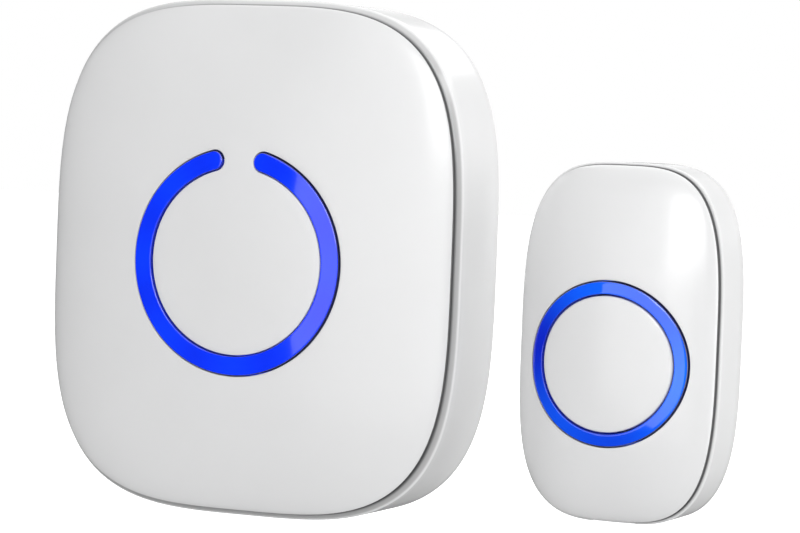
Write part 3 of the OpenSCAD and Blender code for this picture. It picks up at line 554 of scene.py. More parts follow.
# %% The two rings' blues
def ring_middle(node):
    """Middle of a ring node: half way across, and as far over its lowest point as its outer radius."""
    low, high = box_mm(node)
    return (low[0] + high[0]) / 2, low[2] + (high[0] - low[0]) / 2


ring_guide = ring_finish("ring_guide", ring_middle("receiver_light_ring"), [(8, 0, 0.5)],
                         (0.002, 0.028, 0.8), (0.002, 0.038, 0.92))
button_guide = ring_finish("button_guide", ring_middle("transmitter_light_ring"),
                           [(1, 10, 0.3), (3, 105, 0.2)], (0.002, 0.012, 0.5), (0.004, 0.14, 1.0))
print("ring middles in mm", ring_middle("receiver_light_ring"), ring_middle("transmitter_light_ring"))

# %% [markdown]
# ## The receiver's front cover
#
# The cover is a thin domed shell with an open, C-shaped slot for the light ring. A Boolean cut would leave
# ragged triangles in the gloss, so the dome is laid out round the slot instead: loops run from the slot's
# outer edge to the rim, other loops fill the disc inside the slot, and a small bridge joins them across the
# opening at the top. The same layout, a wall lower, is the inside, and the slot's walls join the two.

# %% Measures of the open ring
ARC_COLUMNS, GAP_COLUMNS, CAP_STEPS = 236, 16, 14
RING_FLANGE, RING_BAND, RING_OPENING = 1.4, 3.3, 6.2
RING_GROOVE, FLANGE_T, SEAT_MARGIN = 0.25, 1.2, 0.8
LIP = 0.16

ring_high = box_mm("receiver_light_ring")[1]
ring = SimpleNamespace(outer=ring_high[0] - RING_FLANGE, foot=-ring_high[1])
ring.inner = ring.outer - RING_BAND
ring.middle = np.array(ring_middle("receiver_light_ring")) - np.array([receiver.x, receiver.z])
ring.band_r = (ring.outer + ring.inner) / 2
ring.half_gap = np.arcsin((RING_OPENING + RING_BAND) / 2 / ring.band_r)
ring.seat = ring.foot + FLANGE_T
ring.first = np.pi / 2 + ring.half_gap
ring.last = ring.first + 2 * np.pi - 2 * ring.half_gap
arc_turns = np.linspace(ring.first, ring.last, ARC_COLUMNS)
gap_turns = np.linspace(ring.last, ring.first + 2 * np.pi, GAP_COLUMNS + 1)
all_turns = np.concatenate([arc_turns, gap_turns[1:-1]])
print("open ring", round(ring.inner, 2), "to", round(ring.outer, 2), "mm from its middle")


# %% Points round the band
def about_ring(radius, turn):
    """Plan points at a radius and a turn about the open ring's middle, a little below the unit's own."""
    return ring.middle + polar(radius, turn)


def cap_points(grow):
    """Radius and lead of the points round a band's rounded end: a half circle beyond the end of its arc."""
    turn = np.linspace(0, np.pi, CAP_STEPS + 1)
    radius = RING_BAND / 2 + grow
    along, out = radius * np.sin(turn), ring.band_r + radius * np.cos(turn)
    return np.hypot(out, along), np.arctan2(along, out)


def band_loop(grow):
    """Outline of the open band, grown by an amount: outer arc, rounded end, inner arc back, rounded end."""
    radius, lead = cap_points(grow)
    between = slice(1, CAP_STEPS)
    return np.vstack([
        about_ring(ring.outer + grow, arc_turns), about_ring(radius[between], ring.last + lead[between]),
        about_ring(ring.inner - grow, arc_turns[::-1]),
        about_ring(radius[between][::-1], ring.first - lead[between][::-1])])


print("points round the band", len(band_loop(0)))

# %% Loops from a slot to the rim
CONTOUR_SAMPLES = 12001


def contour_turns(unit, share, turns, middle=(0.0, 0.0)):
    """Superellipse parameters of the contour's points that lie in given directions from a middle point."""
    fine = np.linspace(-np.pi, 5 * np.pi, CONTOUR_SAMPLES)
    plan = contour(unit, share, fine) - np.array(middle)
    directions = np.unwrap(np.arctan2(plan[:, 1], plan[:, 0]))
    directions += 2 * np.pi * np.round((fine[0] - directions[0]) / (2 * np.pi))
    return np.interp(turns, directions, fine)


def skirt_rows(unit, inner_loop, parameters, join, shrink, edge, last, blends, rises):
    """Loops from an inner loop to a dome's last share: a blend to the contour at join, then contours."""
    joined = contour(unit, join, parameters, shrink)
    mixed = [inner_loop * (1 - f) + joined * f for f in np.linspace(0, 1, blends, endpoint=False)]
    rows = [(plan, dome_height(unit, plan, shrink, edge)) for plan in mixed]
    shares = np.sin(np.linspace(np.arcsin(join), np.arcsin(last), rises))
    return rows + [(contour(unit, share, parameters, shrink), unit.rim + swell(share, unit.crown, edge))
                   for share in shares]


print("rim's parameter 45 degrees from the right", contour_turns(receiver, 1.0, np.radians([45.0])))

# %% Slotted dome and rounded rim
JOIN, DISC_ROWS = 0.66, 13
TONGUE_SHRINK, CAVITY_SHRINK, TONGUE_L, COVER_WALL = 1.25, 2.55, 2.5, 1.8
RIM_SHARE = 0.997
RIM_ROUND = ((0.16, 0.14), (0.26, 0.05), (0.42, 0.0))
SHADE_STOPS = np.array([0.1, 0.3])

cover_parameters = contour_turns(receiver, JOIN, all_turns, ring.middle)


def slotted_dome(grow, shrink, edge, last):
    """The dome round a slot, which is the band grown by an amount: skirt, bridge and disc, as three grids."""
    outer = about_ring(ring.outer + grow, all_turns)
    skirt = skirt_rows(receiver, outer, cover_parameters, JOIN, shrink, edge, last, blends=9, rises=26)
    radius, lead = cap_points(grow)
    steps = np.linspace(0, 1, GAP_COLUMNS + 1)
    span = 2 * ring.half_gap - 2 * lead
    bridge = about_ring(radius[:, None], ring.last + lead[:, None] + span[:, None] * steps)
    circles = [about_ring((ring.inner - grow) * f, all_turns) for f in np.linspace(1, 0, DISC_ROWS)]
    disc = [(plan, dome_height(receiver, plan, shrink, edge)) for plan in circles]
    bridge_height = dome_height(receiver, bridge, shrink, edge)
    return [grid(stack(*skirt)), grid(np.dstack([bridge, bridge_height]), closed=False), grid(stack(*disc))]


def rounded_rim(unit, parameters):
    """Rows that round a dome's lower edge: from its last contour inward to the flat underside of the rim."""
    rows = [(contour(unit, RIM_SHARE, parameters), unit.rim + swell(RIM_SHARE, unit.crown, unit.edge))]
    return rows + [(contour(unit, 1, parameters, inward), unit.rim + rise) for inward, rise in RIM_ROUND]


def edge_rows(unit, parameters, tongue_shrink, cavity_shrink, end):
    """Rows of a front piece's edge: its rounded rim, its tongue down to an end, and the inside up again."""
    outer, inner = (contour(unit, 1, parameters, shrink) for shrink in (tongue_shrink, cavity_shrink))
    rows = rounded_rim(unit, parameters) + [(outer, w) for w in (unit.rim, *(unit.seam - SHADE_STOPS), end)]
    return rows + [(inner, end), (inner, unit.rim)]


print("columns of the cover", len(cover_parameters))

# %% Front cover with its C-shaped slot
inner_edge = receiver.edge - COVER_WALL
collar = RING_FLANGE + SEAT_MARGIN
slot_wall = [(band_loop(RING_GROOVE + inward), dome_height(receiver, band_loop(RING_GROOVE + inward)) - down)
             for inward, down in quarter(LIP)]
slot_wall += rows_of(band_loop, (RING_GROOVE, ring.seat), (collar, ring.seat),
                     (collar, dome_height(receiver, band_loop(collar), CAVITY_SHRINK, inner_edge)))
tongue = edge_rows(receiver, cover_parameters, TONGUE_SHRINK, CAVITY_SHRINK, receiver.seam - TONGUE_L)
front_cover = make_piece(
    "front_cover",
    slotted_dome(RING_GROOVE + LIP, 0.0, receiver.edge, RIM_SHARE)
    + slotted_dome(collar, CAVITY_SHRINK, inner_edge, 1.0)
    + [grid(stack(*slot_wall)), grid(stack(*tongue))],
    receiver, "receiver", cover_gloss, "cover_plastic", "receiver_front_cover")

# %% [markdown]
# Between the cover and the housing runs a narrow gap, which is a dark line on the real unit. The light
# alone would leave it pale, because the white walls throw so much of it into the gap. So the shade is
# painted: each piece carries an attribute that tells its finish how much painted shade to mix in. It follows
# from a point's height over the wall, and the walls that face the unit's middle stay clean, because they
# show when a unit is opened. Faces that look up, where light falls on them, get less of it.

# %% Painted shade in the seam
TURNED_IN = -0.3
FULL_OVER = 0.02
FRONT_SHADE = [0, 0.5, 1, 0]
COVER_SHADE_OVER, SHELL_SHADE_OVER = 0.2, 0.25


def paint_seam_shade(piece, unit, heights, shares, up_lit_share=0.0):
    """Writes the seam attribute: a share of painted shade at each rising height, straight lines between.

    Points turned towards the unit's middle get none; those that face up, where light falls, lose a share."""
    mesh = piece.data
    places, facing = np.empty((2, len(mesh.vertices), 3), np.float32)
    mesh.vertices.foreach_get("co", places.ravel())
    mesh.vertex_normals.foreach_get("vector", facing.ravel())
    out = places[:, [0, 2]] - np.array([unit.x, unit.z]) * MM
    outside = (out * facing[:, [0, 2]]).sum(axis=1) > TURNED_IN * np.linalg.norm(out, axis=1)
    covered = outside * (1 - up_lit_share * np.clip(facing[:, 2], 0, 1))
    share = np.interp(-places[:, 1] / MM, heights, shares) * covered
    # The share of painted shade is stored on the points for the finish to mix in.
    mesh.attributes.new(PAINTED_SHADE_ATTRIBUTE, "FLOAT", "POINT").data.foreach_set("value", share.astype(np.float32))
    print(piece.name, "points in the seam", int((share > 0).sum()))


def gap_heights(unit, over):
    """Heights at which the shade of a front piece starts, grows, is full and ends, a bit over the rim."""
    return [*(unit.seam - SHADE_STOPS[::-1]), unit.rim + FULL_OVER, unit.rim + over]


# Painted shade on the cover's rounded rim and on its tongue in the gap.
paint_seam_shade(front_cover, receiver, gap_heights(receiver, COVER_SHADE_OVER), FRONT_SHADE)

# %% [markdown]
# ## The open light ring
#
# The ring fills the slot with an even groove all round and stands a hair proud of the cover. Its top
# follows the dome, so it is a grid along and across the band, and the outline carried down in steps makes
# the rounded edge, the wall and the flange that holds the ring behind the cover.

# %% Open light ring
RING_EDGE = 0.22


def band_top(grow, height):
    """The area of the open band as a grid: rows across the band, columns along it and round its ends."""
    radius, lead = cap_points(grow)
    steps = np.linspace(0, 1, ARC_COLUMNS)
    first, last = ring.first - lead[:, None], ring.last + lead[:, None]
    plan = about_ring(radius[:, None], first + (last - first) * steps)
    return grid(np.dstack([plan, np.broadcast_to(height(plan), plan.shape[:2])]), closed=False)


def ring_top(plan):
    """Height of a light ring's face: the dome and the bit by which it stands proud."""
    return dome_height(receiver, plan) + RING_PROUD


ring_wall = [(band_loop(-inward), ring_top(band_loop(-inward)) - down) for inward, down in quarter(RING_EDGE)]
ring_wall += rows_of(band_loop, (0, ring.seat), (RING_FLANGE, ring.seat), (RING_FLANGE, ring.foot))
make_piece(
    "open_light_ring",
    [band_top(-RING_EDGE, ring_top), grid(stack(*ring_wall)), band_top(RING_FLANGE, lambda plan: ring.foot)],
    receiver, "receiver", ring_guide, "ring_plastic", "receiver_light_ring")

# %% [markdown]
# ## The rear housing
#
# The housing is a tray with a bevelled rim, a rounded back edge, three slots for the side keys, a plug face
# and a grille of sound holes. The wall is a stack of outlines. Round each key slot the grid changes to
# loops that run from a rectangular cell to the slot. The flat floors are triangulated between their holes,
# and posts, bores and the speaker's collar are profiles carried round.

# %% Loops with one side cut to measure
SIDE_SAMPLES = 4001


def half_span(v, across, along, n):
    """Half width of a superellipse: across times the n-th root of one less (v / along) to the power n."""
    return across * (1 - (np.abs(v) / along) ** n) ** (1 / n)


def split_loop(unit, grow, side, stops, rest):
    """A unit's outline, anticlockwise: given stops on its left or bottom side, then even steps round."""
    a, b = unit.a + grow, unit.b + grow
    if side == "left":
        cut = np.column_stack([-half_span(stops, a, b, unit.n), stops])
        reach, start = (np.abs(stops[[-1, 0]]) / b) ** (unit.n / 2), np.pi
    else:
        cut = np.column_stack([stops, -half_span(stops, b, a, unit.n)])
        reach, start = (np.abs(stops[[-1, 0]]) / a) ** (unit.n / 2), 1.5 * np.pi
    fine = np.linspace(start + np.arcsin(reach[0]), start + 2 * np.pi - np.arcsin(reach[1]), SIDE_SAMPLES)
    path = outline(a, b, unit.n, fine)
    length = np.concatenate([[0], np.cumsum(np.linalg.norm(np.diff(path, axis=0), axis=1))])
    even = np.interp(np.linspace(0, length[-1], rest + 1)[1:-1], length, fine)
    return np.vstack([cut, outline(a, b, unit.n, even)])


print("half width 20 mm over the middle", half_span(20.0, receiver.a, receiver.b, receiver.n))

# %% Housing sizes
HOUSING_WALL, PLUG_RISE = 2.0, 1.6
KEY_L, KEY_W, KEY_CLEARANCE, KEY_CORNER = 9.0, 4.0, 0.3, 2.0
CELL_COLUMNS, CELL_ROWS, CELL_LOOPS, WALL_REST = 14, 8, 6, 230

floor_at = PLUG_RISE + HOUSING_WALL
inner_grow = receiver.bevel - HOUSING_WALL
key_boxes = {name: box_mm(name) for name in ("volume_key", "next_melody_key", "previous_melody_key")}
key_middles = np.array([(low[2] + high[2]) / 2 for low, high in key_boxes.values()])
key_axis = -np.mean([low[1] + high[1] for low, high in key_boxes.values()]) / 2
cell = abs(key_middles[0] - key_middles[1])
key_stops = np.linspace(key_middles.max() + cell / 2, key_middles.min() - cell / 2, 3 * CELL_COLUMNS + 1)


def wall_loop(grow):
    """The receiver's outline with stops at the key cells' corners."""
    return split_loop(receiver, grow, "left", key_stops, WALL_REST)


print("housing floor at", floor_at, "mm, keys at", key_middles, "mm, cells of", cell, "mm")

# %% Bevelled rim and rounded back edge
BACK_ROUND, BEVEL_ROUND, SOFT_PART = 1.2, 0.6, 5
CORNER_STEPS, SLOPE_STEPS = 5, 6
SOFT_EDGE = ((0.3, 0.45), (-0.5, 0.12), (-1.5, 0.0))


def bevel_rows(unit, radius):
    """Growth and height of a bevelled rim, with its outer corner and the edge at the seam rounded."""
    drop = radius * np.tan(np.pi / 8)
    corner = [(unit.bevel - radius + radius * np.cos(t), unit.seam - unit.bevel - drop + radius * np.sin(t))
              for t in np.linspace(0, np.pi / 4, CORNER_STEPS)]
    soft = unit.bevel / SOFT_PART
    slope = [(grow, unit.seam - grow) for grow in np.linspace(unit.bevel - drop / 2, soft, SLOPE_STEPS)[1:]]
    return corner + slope + [(soft * out, unit.seam - soft * down) for out, down in SOFT_EDGE]


rim_rows = bevel_rows(receiver, BEVEL_ROUND)
back_rows = [(receiver.bevel - inward, PLUG_RISE + down) for inward, down in quarter(BACK_ROUND, steps=6)]
wall_low, wall_high = back_rows[-1][1], rim_rows[0][1]
print("upright wall from", wall_low, "to", wall_high, "mm")

# %% Key slots in the side wall
KEY_SLOT_L, KEY_SLOT_W = KEY_L + 2 * KEY_CLEARANCE, KEY_W + 2 * KEY_CLEARANCE


def on_wall(loop, grow, depth=0.0):
    """Points of a (v, w) loop on the left wall, which may lie a depth under its surface."""
    across = -half_span(loop[:, 0], receiver.a + grow, receiver.b + grow, receiver.n) + depth
    return np.column_stack([across, loop])


def slot_loop(middle, grow, directions):
    """The rounded slot of one key in the (v, w) plane, at given directions from its middle."""
    fine = rounded_loop(KEY_SLOT_L, KEY_SLOT_W, KEY_CORNER, steps=60, inward=-grow)
    turns = np.unwrap(np.arctan2(fine[:, 1], fine[:, 0]))
    wrapped = np.mod(directions - turns[0], 2 * np.pi) + turns[0]
    around = np.vstack([fine, fine[:1]])
    turns = np.append(turns, turns[0] + 2 * np.pi)
    return np.array(middle) + np.column_stack([np.interp(wrapped, turns, part) for part in around.T])


print("key slots", KEY_SLOT_L, "by", KEY_SLOT_W, "mm")


# %% Wall round the key slots
def key_cell(middle, low, high, grow, lip):
    """Loops from a cell's rectangle to its key slot on one wall surface, and the rounded lip of the slot."""
    v = middle + np.linspace(cell / 2, -cell / 2, CELL_COLUMNS + 1)
    w = np.linspace(low, high, CELL_ROWS + 1)
    sides = (v, low), (v[-1], w), (v[::-1], high), (v[0], w[::-1])
    border = np.vstack([np.column_stack(np.broadcast_arrays(*side))[:-1] for side in sides])
    directions = np.arctan2(border[:, 1] - key_axis, border[:, 0] - middle)
    mouth = slot_loop((middle, key_axis), abs(lip), directions)
    rows = [on_wall(border * (1 - f) + mouth * f, grow) for f in np.linspace(0, 1, CELL_LOOPS)]
    if lip:
        rows += [on_wall(slot_loop((middle, key_axis), inward, directions), grow, down)
                 for inward, down in quarter(lip)[1:]]
    return rows


def wall_strip(low, high, grow):
    """The wall between two heights, all round but for the key cells."""
    loop = wall_loop(grow)
    strip = np.vstack([loop[3 * CELL_COLUMNS:], loop[:1]])
    return grid(stack(*[(strip, w) for w in np.linspace(low, high, CELL_ROWS + 1)]), closed=False)


key_surfaces = []
for middle in key_middles:
    outer_rows = key_cell(middle, wall_low, wall_high, receiver.bevel, LIP)
    inner_rows = key_cell(middle, floor_at, receiver.seam, inner_grow, 0.0)
    key_surfaces.append(grid(np.stack(outer_rows + inner_rows[::-1])))
print("key cells", len(key_surfaces))

# %% Places on the housing's back
SCREW_HEAD_R, SMALL_HEAD_R = 2.8, 2.0
BLADE_FIT, BLADE_T, BLADE_W, BLADE_CORNER = 0.1, 1.5, 6.3, 0.2
BOARD_INSET, POWER_INSET, EAR_T = 4.0, 3.5, 3.0
SOUND_PITCH, SOUND_RINGS = 3.4, 3


def corners_of(half, middle=(0.0, 0.0)):
    """The four corners of a rectangle with given half sizes."""
    return [(middle[0] + i * half[0], middle[1] + j * half[1]) for i in (-1, 1) for j in (-1, 1)]


def half_box(node):
    """Half sizes of a node's box across and up, and its middle."""
    low, high = box_mm(node)
    return (high - low)[[0, 2]] / 2, (high + low)[[0, 2]] / 2


screw_places = corners_of(half_box("housing_screws")[0] - SCREW_HEAD_R)
speaker_half, speaker_middle = half_box("speaker_basket")
sound_places = [tuple(speaker_middle)] + [
    tuple(speaker_middle + polar(k * SOUND_PITCH, t))
    for k in range(1, SOUND_RINGS + 1) for t in np.arange(6 * k) * np.pi / 3 / k]
power_half, power_middle = half_box("power_board")
board_back, power_back = -box_mm("main_board")[1][1], -box_mm("power_board")[1][1]
ear_top = -box_mm("blade_carrier")[0][1] - EAR_T
ear_at = half_box("carrier_screws")[0][0] - SMALL_HEAD_R
standoffs = [(place, board_back) for place in corners_of(half_box("main_board")[0] - BOARD_INSET)]
standoffs += [(place, power_back) for place in corners_of(power_half - POWER_INSET, power_middle)]
standoffs += [((i * ear_at, 0.0), ear_top) for i in (-1, 1)]
blade_at = box_mm("plug_blades")[1][0] - BLADE_T / 2
blade_slot = BLADE_T + 2 * BLADE_FIT, BLADE_W + 2 * BLADE_FIT
blade_slots = [rounded_loop(*blade_slot, BLADE_CORNER, (i * blade_at, 0.0), steps=2) for i in (-1, 1)]
print("screws", len(screw_places), "sound holes", len(sound_places), "posts", len(standoffs))

# %% Back with its plug face and blade slots
PAD_W, PAD_H, PAD_CORNER, PAD_EDGE = 30.0, 20.0, 2.0, 0.5
BORE_R, SOUND_R, SOUND_POINTS = 3.2, 0.9, 20

pad_rows = [(rounded_loop(PAD_W, PAD_H, PAD_CORNER), PLUG_RISE)]
pad_rows += [(rounded_loop(PAD_W, PAD_H, PAD_CORNER, inward=inward), down)
             for inward, down in quarter(PAD_EDGE)[::-1]]
back_holes = [pad_rows[0][0]] + [circle_loop(BORE_R + LIP, place) for place in screw_places]
back_holes += [circle_loop(SOUND_R + LIP, place, SOUND_POINTS) for place in sound_places]
back_surfaces = [flat_face(wall_loop(back_rows[0][0]), back_holes, PLUG_RISE)]
back_surfaces += [grid(stack(*pad_rows)), flat_face(pad_rows[-1][0], blade_slots, 0.0)]
back_surfaces += [grid(stack((loop, 0.0), (loop, floor_at))) for loop in blade_slots]
print("holes in the back", len(back_holes))

# %% Bores, sound holes and posts
SCREW_HOLE_R, BOSS_R, POST_PLANE, SCREW_SEAT = 1.7, 4.2, 9.0, 4.6
STANDOFF_R, PILOT_R, PILOT_DEPTH = 2.6, 1.05, 3.0


def lipped(radius, height):
    """Profile of a hole's rounded mouth in a face that looks at the wall from a height."""
    return [(radius + inward, height + down) for inward, down in quarter(LIP, steps=3)]


bore = lipped(BORE_R, PLUG_RISE)
bore += [(BORE_R, SCREW_SEAT), (SCREW_HOLE_R, SCREW_SEAT), (SCREW_HOLE_R, POST_PLANE), (BOSS_R, POST_PLANE),
         (BOSS_R, floor_at)]
hole = lipped(SOUND_R, PLUG_RISE) + [(SOUND_R, floor_at)]
back_surfaces += [revolve(bore, place) for place in screw_places]
back_surfaces += [revolve(hole, place, SOUND_POINTS) for place in sound_places]
for place, top in standoffs:
    back_surfaces.append(revolve([
        (STANDOFF_R, floor_at), (STANDOFF_R, top), (PILOT_R, top), (PILOT_R, top - PILOT_DEPTH),
        (0.0, top - PILOT_DEPTH)], place))
print("surfaces of the back", len(back_surfaces))

# %% Floor with the speaker's collar
SPEAKER_FIT, SPEAKER_COLLAR, COLLAR_L, COLLAR_POINTS = 0.3, 1.2, 2.6, 96

speaker_seat = speaker_half[0] + SPEAKER_FIT
collar_r = speaker_seat + SPEAKER_COLLAR
collar_top = floor_at + COLLAR_L
back_surfaces.append(revolve([(collar_r, floor_at), (collar_r, collar_top), (speaker_seat, collar_top),
                              (speaker_seat, floor_at)], speaker_middle, COLLAR_POINTS))
sound_loops = [circle_loop(SOUND_R, place, SOUND_POINTS) for place in sound_places]
seat_loop = circle_loop(speaker_seat, speaker_middle, COLLAR_POINTS)
back_surfaces.append(flat_face(seat_loop, sound_loops, floor_at))
floor_holes = [circle_loop(collar_r, speaker_middle, COLLAR_POINTS)]
floor_holes += [circle_loop(BOSS_R, place) for place in screw_places]
floor_holes += [circle_loop(STANDOFF_R, place) for place, _ in standoffs] + blade_slots
back_surfaces.append(flat_face(wall_loop(inner_grow), floor_holes, floor_at))
print("holes in the floor", len(floor_holes))

# %% Rear housing
# Painted shade on the housing: full in the gap, a grey band down the rim's bevel, less where it faces up.
HOUSING_SHADE_AT, HOUSING_SHADE = np.array([-0.85, -0.6, -0.15, 0.0]), [0, 0.45, 0.55, 1]
UP_LIT_SHARE = 0.8

back_edge = rows_of(wall_loop, *back_rows)
rim_edge = rows_of(wall_loop, *rim_rows, (inner_grow, receiver.seam))
walls = [wall_strip(wall_low, wall_high, receiver.bevel), wall_strip(floor_at, receiver.seam, inner_grow)]
rear_housing = make_piece(
    "rear_housing",
    [grid(stack(*back_edge)), grid(stack(*rim_edge))] + walls + key_surfaces + back_surfaces,
    receiver, "receiver", housing_satin, "housing_plastic", "receiver_rear_housing")
paint_seam_shade(rear_housing, receiver, receiver.seam + HOUSING_SHADE_AT, HOUSING_SHADE, UP_LIT_SHARE)

# %% [markdown]
# ## The side keys
#
# Three small keys sit in the side wall. Each is a rounded bar with a softened edge and a faintly domed
# face, on a flange that keeps it behind the wall, with a stem to its switch. Loops of a rounded rectangle
# are scaled and set at depths along the key's travel.

# %% Side keys
KEY_EDGE, KEY_DOME, KEY_FLANGE, KEY_FLANGE_T, KEY_STEM_R = 0.45, 0.12, 1.0, 1.0, 1.8
FACE_START, FACE_LOOPS = 0.02, 6


def key_rows(low, high, middle):
    """Loops in the (w, v) plane with a place across, from the face's middle round to the end of the stem."""
    face = low[0]
    corner = KEY_W / 2 - KEY_CLEARANCE
    top = rounded_loop(KEY_W, KEY_L, corner, inward=KEY_EDGE)
    rows = [(top * f, face + KEY_DOME * f ** 2) for f in np.linspace(FACE_START, 1, FACE_LOOPS)]
    rows += [(rounded_loop(KEY_W, KEY_L, corner, inward=inward), face + KEY_DOME + down)
             for inward, down in quarter(KEY_EDGE, steps=5)[1:]]
    far = abs(middle) + KEY_L / 2 + KEY_FLANGE
    flange = -half_span(far, receiver.a + inner_grow, receiver.b + inner_grow, receiver.n) + KEY_CLEARANCE / 2
    wide = rounded_loop(KEY_W + 2 * KEY_FLANGE, KEY_L + 2 * KEY_FLANGE, KEY_W / 2)
    stem = rounded_loop(2 * KEY_STEM_R, 2 * KEY_STEM_R, KEY_STEM_R)
    back = flange + KEY_FLANGE_T
    rows += [(rows[-1][0], flange), (wide, flange), (wide, back), (stem, back), (stem, high[0]),
             (stem * 0.0, high[0])]
    return [(rows[0][0] * 0.0, face)] + rows


for name, (low, high) in key_boxes.items():
    middle = (low[2] + high[2]) / 2
    rows = [np.column_stack([np.full(len(loop), across), -(loop[:, 0] + key_axis), loop[:, 1] + middle])
            for loop, across in key_rows(low, high, middle)]
    make_piece(name + "_cap", [grid(np.stack(rows))], receiver, name, key_satin, "key_plastic", name,
               turned=True)

# %% [markdown]
# ## Screws with a cross recess
#
# Screw heads show at the bottom of the bores on the receiver's back, and on the transmitter's board once
# its front is off. A head is a disc whose height is a function of radius and turn: flat, rounded at the
# edge, and pressed in where the point lies in one of the cross's two bars.

# %% Shape of a screw
SCREW_COLUMNS, FACE_STEPS, EDGE_STEPS = 96, 26, 8
CROSS_END, EDGE_START = 0.72, 0.76
BAR_SHARE, REACH_SHARE, RECESS_SHARE, RECESS_SOFT = 0.16, 0.58, 0.55, 0.12
EDGE_FALL, FACE_FALL = 0.28, 0.06


def soft_step(distance, width):
    """One inside a bar of a half width, nought outside, with a short slope between."""
    return np.clip((width - np.abs(distance)) / RECESS_SOFT + 0.5, 0, 1)


def screw_grid(place, seat, head_r, head_t, shank_r, end):
    """A screw that points away from the wall, from the height its head rests on to the height of its end.

    Its face falls with the fourth power and the square of the radius, and in the cross by a share of the
    head's thickness more."""
    face, edge = np.linspace(0, CROSS_END, FACE_STEPS), np.linspace(EDGE_START, 1, EDGE_STEPS)
    out = np.concatenate([face, edge])[:, None]
    turn = np.linspace(0, 2 * np.pi, SCREW_COLUMNS, endpoint=False)
    plan = polar(head_r * out, turn)
    bar, reach = BAR_SHARE * head_r, REACH_SHARE * head_r
    cross = np.maximum(soft_step(plan[..., 0], bar) * soft_step(plan[..., 1], reach),
                       soft_step(plan[..., 1], bar) * soft_step(plan[..., 0], reach))
    depth = head_t * (EDGE_FALL * out ** 4 + FACE_FALL * out ** 2 + RECESS_SHARE * cross)
    length = end - seat + head_t
    rim = [(head_r, head_t), (shank_r, head_t), (shank_r, length), (0.0, length)]
    points = stack(*zip(plan, depth), *[(polar(radius, turn), down) for radius, down in rim])
    return grid(points + np.array([*place, seat - head_t]))


print("quads of a screw", len(screw_grid((0, 0), 0, 2, 1, 1, 5)[1]))

# %% Screw sets
SCREW_HEAD_T, SCREW_SHANK_R = 2.0, 1.45
TINY_HEAD_R, TINY_HEAD_T, TINY_SHANK_R = 1.7, 1.2, 0.9

screw_end = -box_mm("housing_screws")[0][1]
make_piece("housing_screw_set",
           [screw_grid(place, SCREW_SEAT, SCREW_HEAD_R, SCREW_HEAD_T, SCREW_SHANK_R, screw_end)
            for place in screw_places],
           receiver, "receiver", screw_steel, "screw_steel", "housing_screws")
tiny_low, tiny_high = box_mm("transmitter_screws")
tiny_seat = TINY_HEAD_T - tiny_high[1]
make_piece("transmitter_screw_set",
           [screw_grid(place, tiny_seat, TINY_HEAD_R, TINY_HEAD_T, TINY_SHANK_R, -tiny_low[1])
            for place in corners_of(half_box("transmitter_screws")[0] - TINY_HEAD_R)],
           transmitter, "transmitter_front", screw_steel, "screw_steel", "transmitter_screws")

# %% [markdown]
# ## The transmitter's front
#
# The slim unit has the same kind of dome with one round hole, a little below its middle, for the closed
# light ring and the button. Loops run from the hole to the rim. The ring and the button are profiles
# carried round the button's axis, but their faces take their height from the dome, so all three flow into
# each other.

# %% Measures of the transmitter's front
BUTTON_COLUMNS, SHELL_JOIN = 200, 0.9
BUTTON_FLANGE, BUTTON_BAND = 0.8, 2.1

closed_half, closed_middle = half_box("transmitter_light_ring")
button_at = closed_middle - np.array([transmitter.x, transmitter.z])
closed_outer = closed_half[0] - BUTTON_FLANGE
closed_inner = closed_outer - BUTTON_BAND
closed_foot = -box_mm("transmitter_light_ring")[1][1]
closed_seat = closed_foot + FLANGE_T
button_turns = np.linspace(0, 2 * np.pi, BUTTON_COLUMNS, endpoint=False)
shell_parameters = contour_turns(transmitter, SHELL_JOIN, button_turns, button_at)


def button_loop(radius):
    """A circle round the button's axis, at the shell's columns."""
    return button_at + polar(radius, button_turns)


def on_dome(radius, lift=0.0):
    """A circle round the button's axis that lies on the dome, lifted by an amount."""
    loop = button_loop(radius)
    return loop, dome_height(transmitter, loop) + lift


print("closed ring", round(closed_inner, 2), "to", round(closed_outer, 2), "mm from the button's axis")

# %% Front shell of the transmitter
SHELL_TONGUE_L, SHELL_TONGUE_SHRINK, SHELL_CAVITY_SHRINK, SHELL_WALL = 3.2, 1.4, 2.7, 1.6

hole_r = closed_outer + RING_GROOVE
collar_hole_r = hole_r + 2 * BUTTON_FLANGE
shell_inner_edge = transmitter.edge - SHELL_WALL
outer_skin = skirt_rows(transmitter, button_loop(hole_r + LIP), shell_parameters, SHELL_JOIN, 0.0,
                        transmitter.edge, RIM_SHARE, blends=8, rises=22)
inner_skin = skirt_rows(transmitter, button_loop(collar_hole_r), shell_parameters, SHELL_JOIN,
                        SHELL_CAVITY_SHRINK, shell_inner_edge, 1.0, blends=6, rises=14)
hole_wall = [on_dome(hole_r + inward, -down) for inward, down in quarter(LIP)]
hole_wall += rows_of(button_loop, (hole_r, closed_seat), (collar_hole_r, closed_seat)) + [inner_skin[0]]
shell_end = transmitter.seam - SHELL_TONGUE_L
shell_tongue = edge_rows(transmitter, shell_parameters, SHELL_TONGUE_SHRINK, SHELL_CAVITY_SHRINK, shell_end)
front_shell = make_piece(
    "transmitter_shell", [grid(stack(*rows)) for rows in (outer_skin, inner_skin, hole_wall, shell_tongue)],
    transmitter, "transmitter_front", cover_gloss, "cover_plastic", "transmitter_front_shell")
# Painted shade on the shell's rounded rim and on its tongue in the gap.
paint_seam_shade(front_shell, transmitter, gap_heights(transmitter, SHELL_SHADE_OVER), FRONT_SHADE)

# %% Closed light ring
BAND_LOOPS = 8

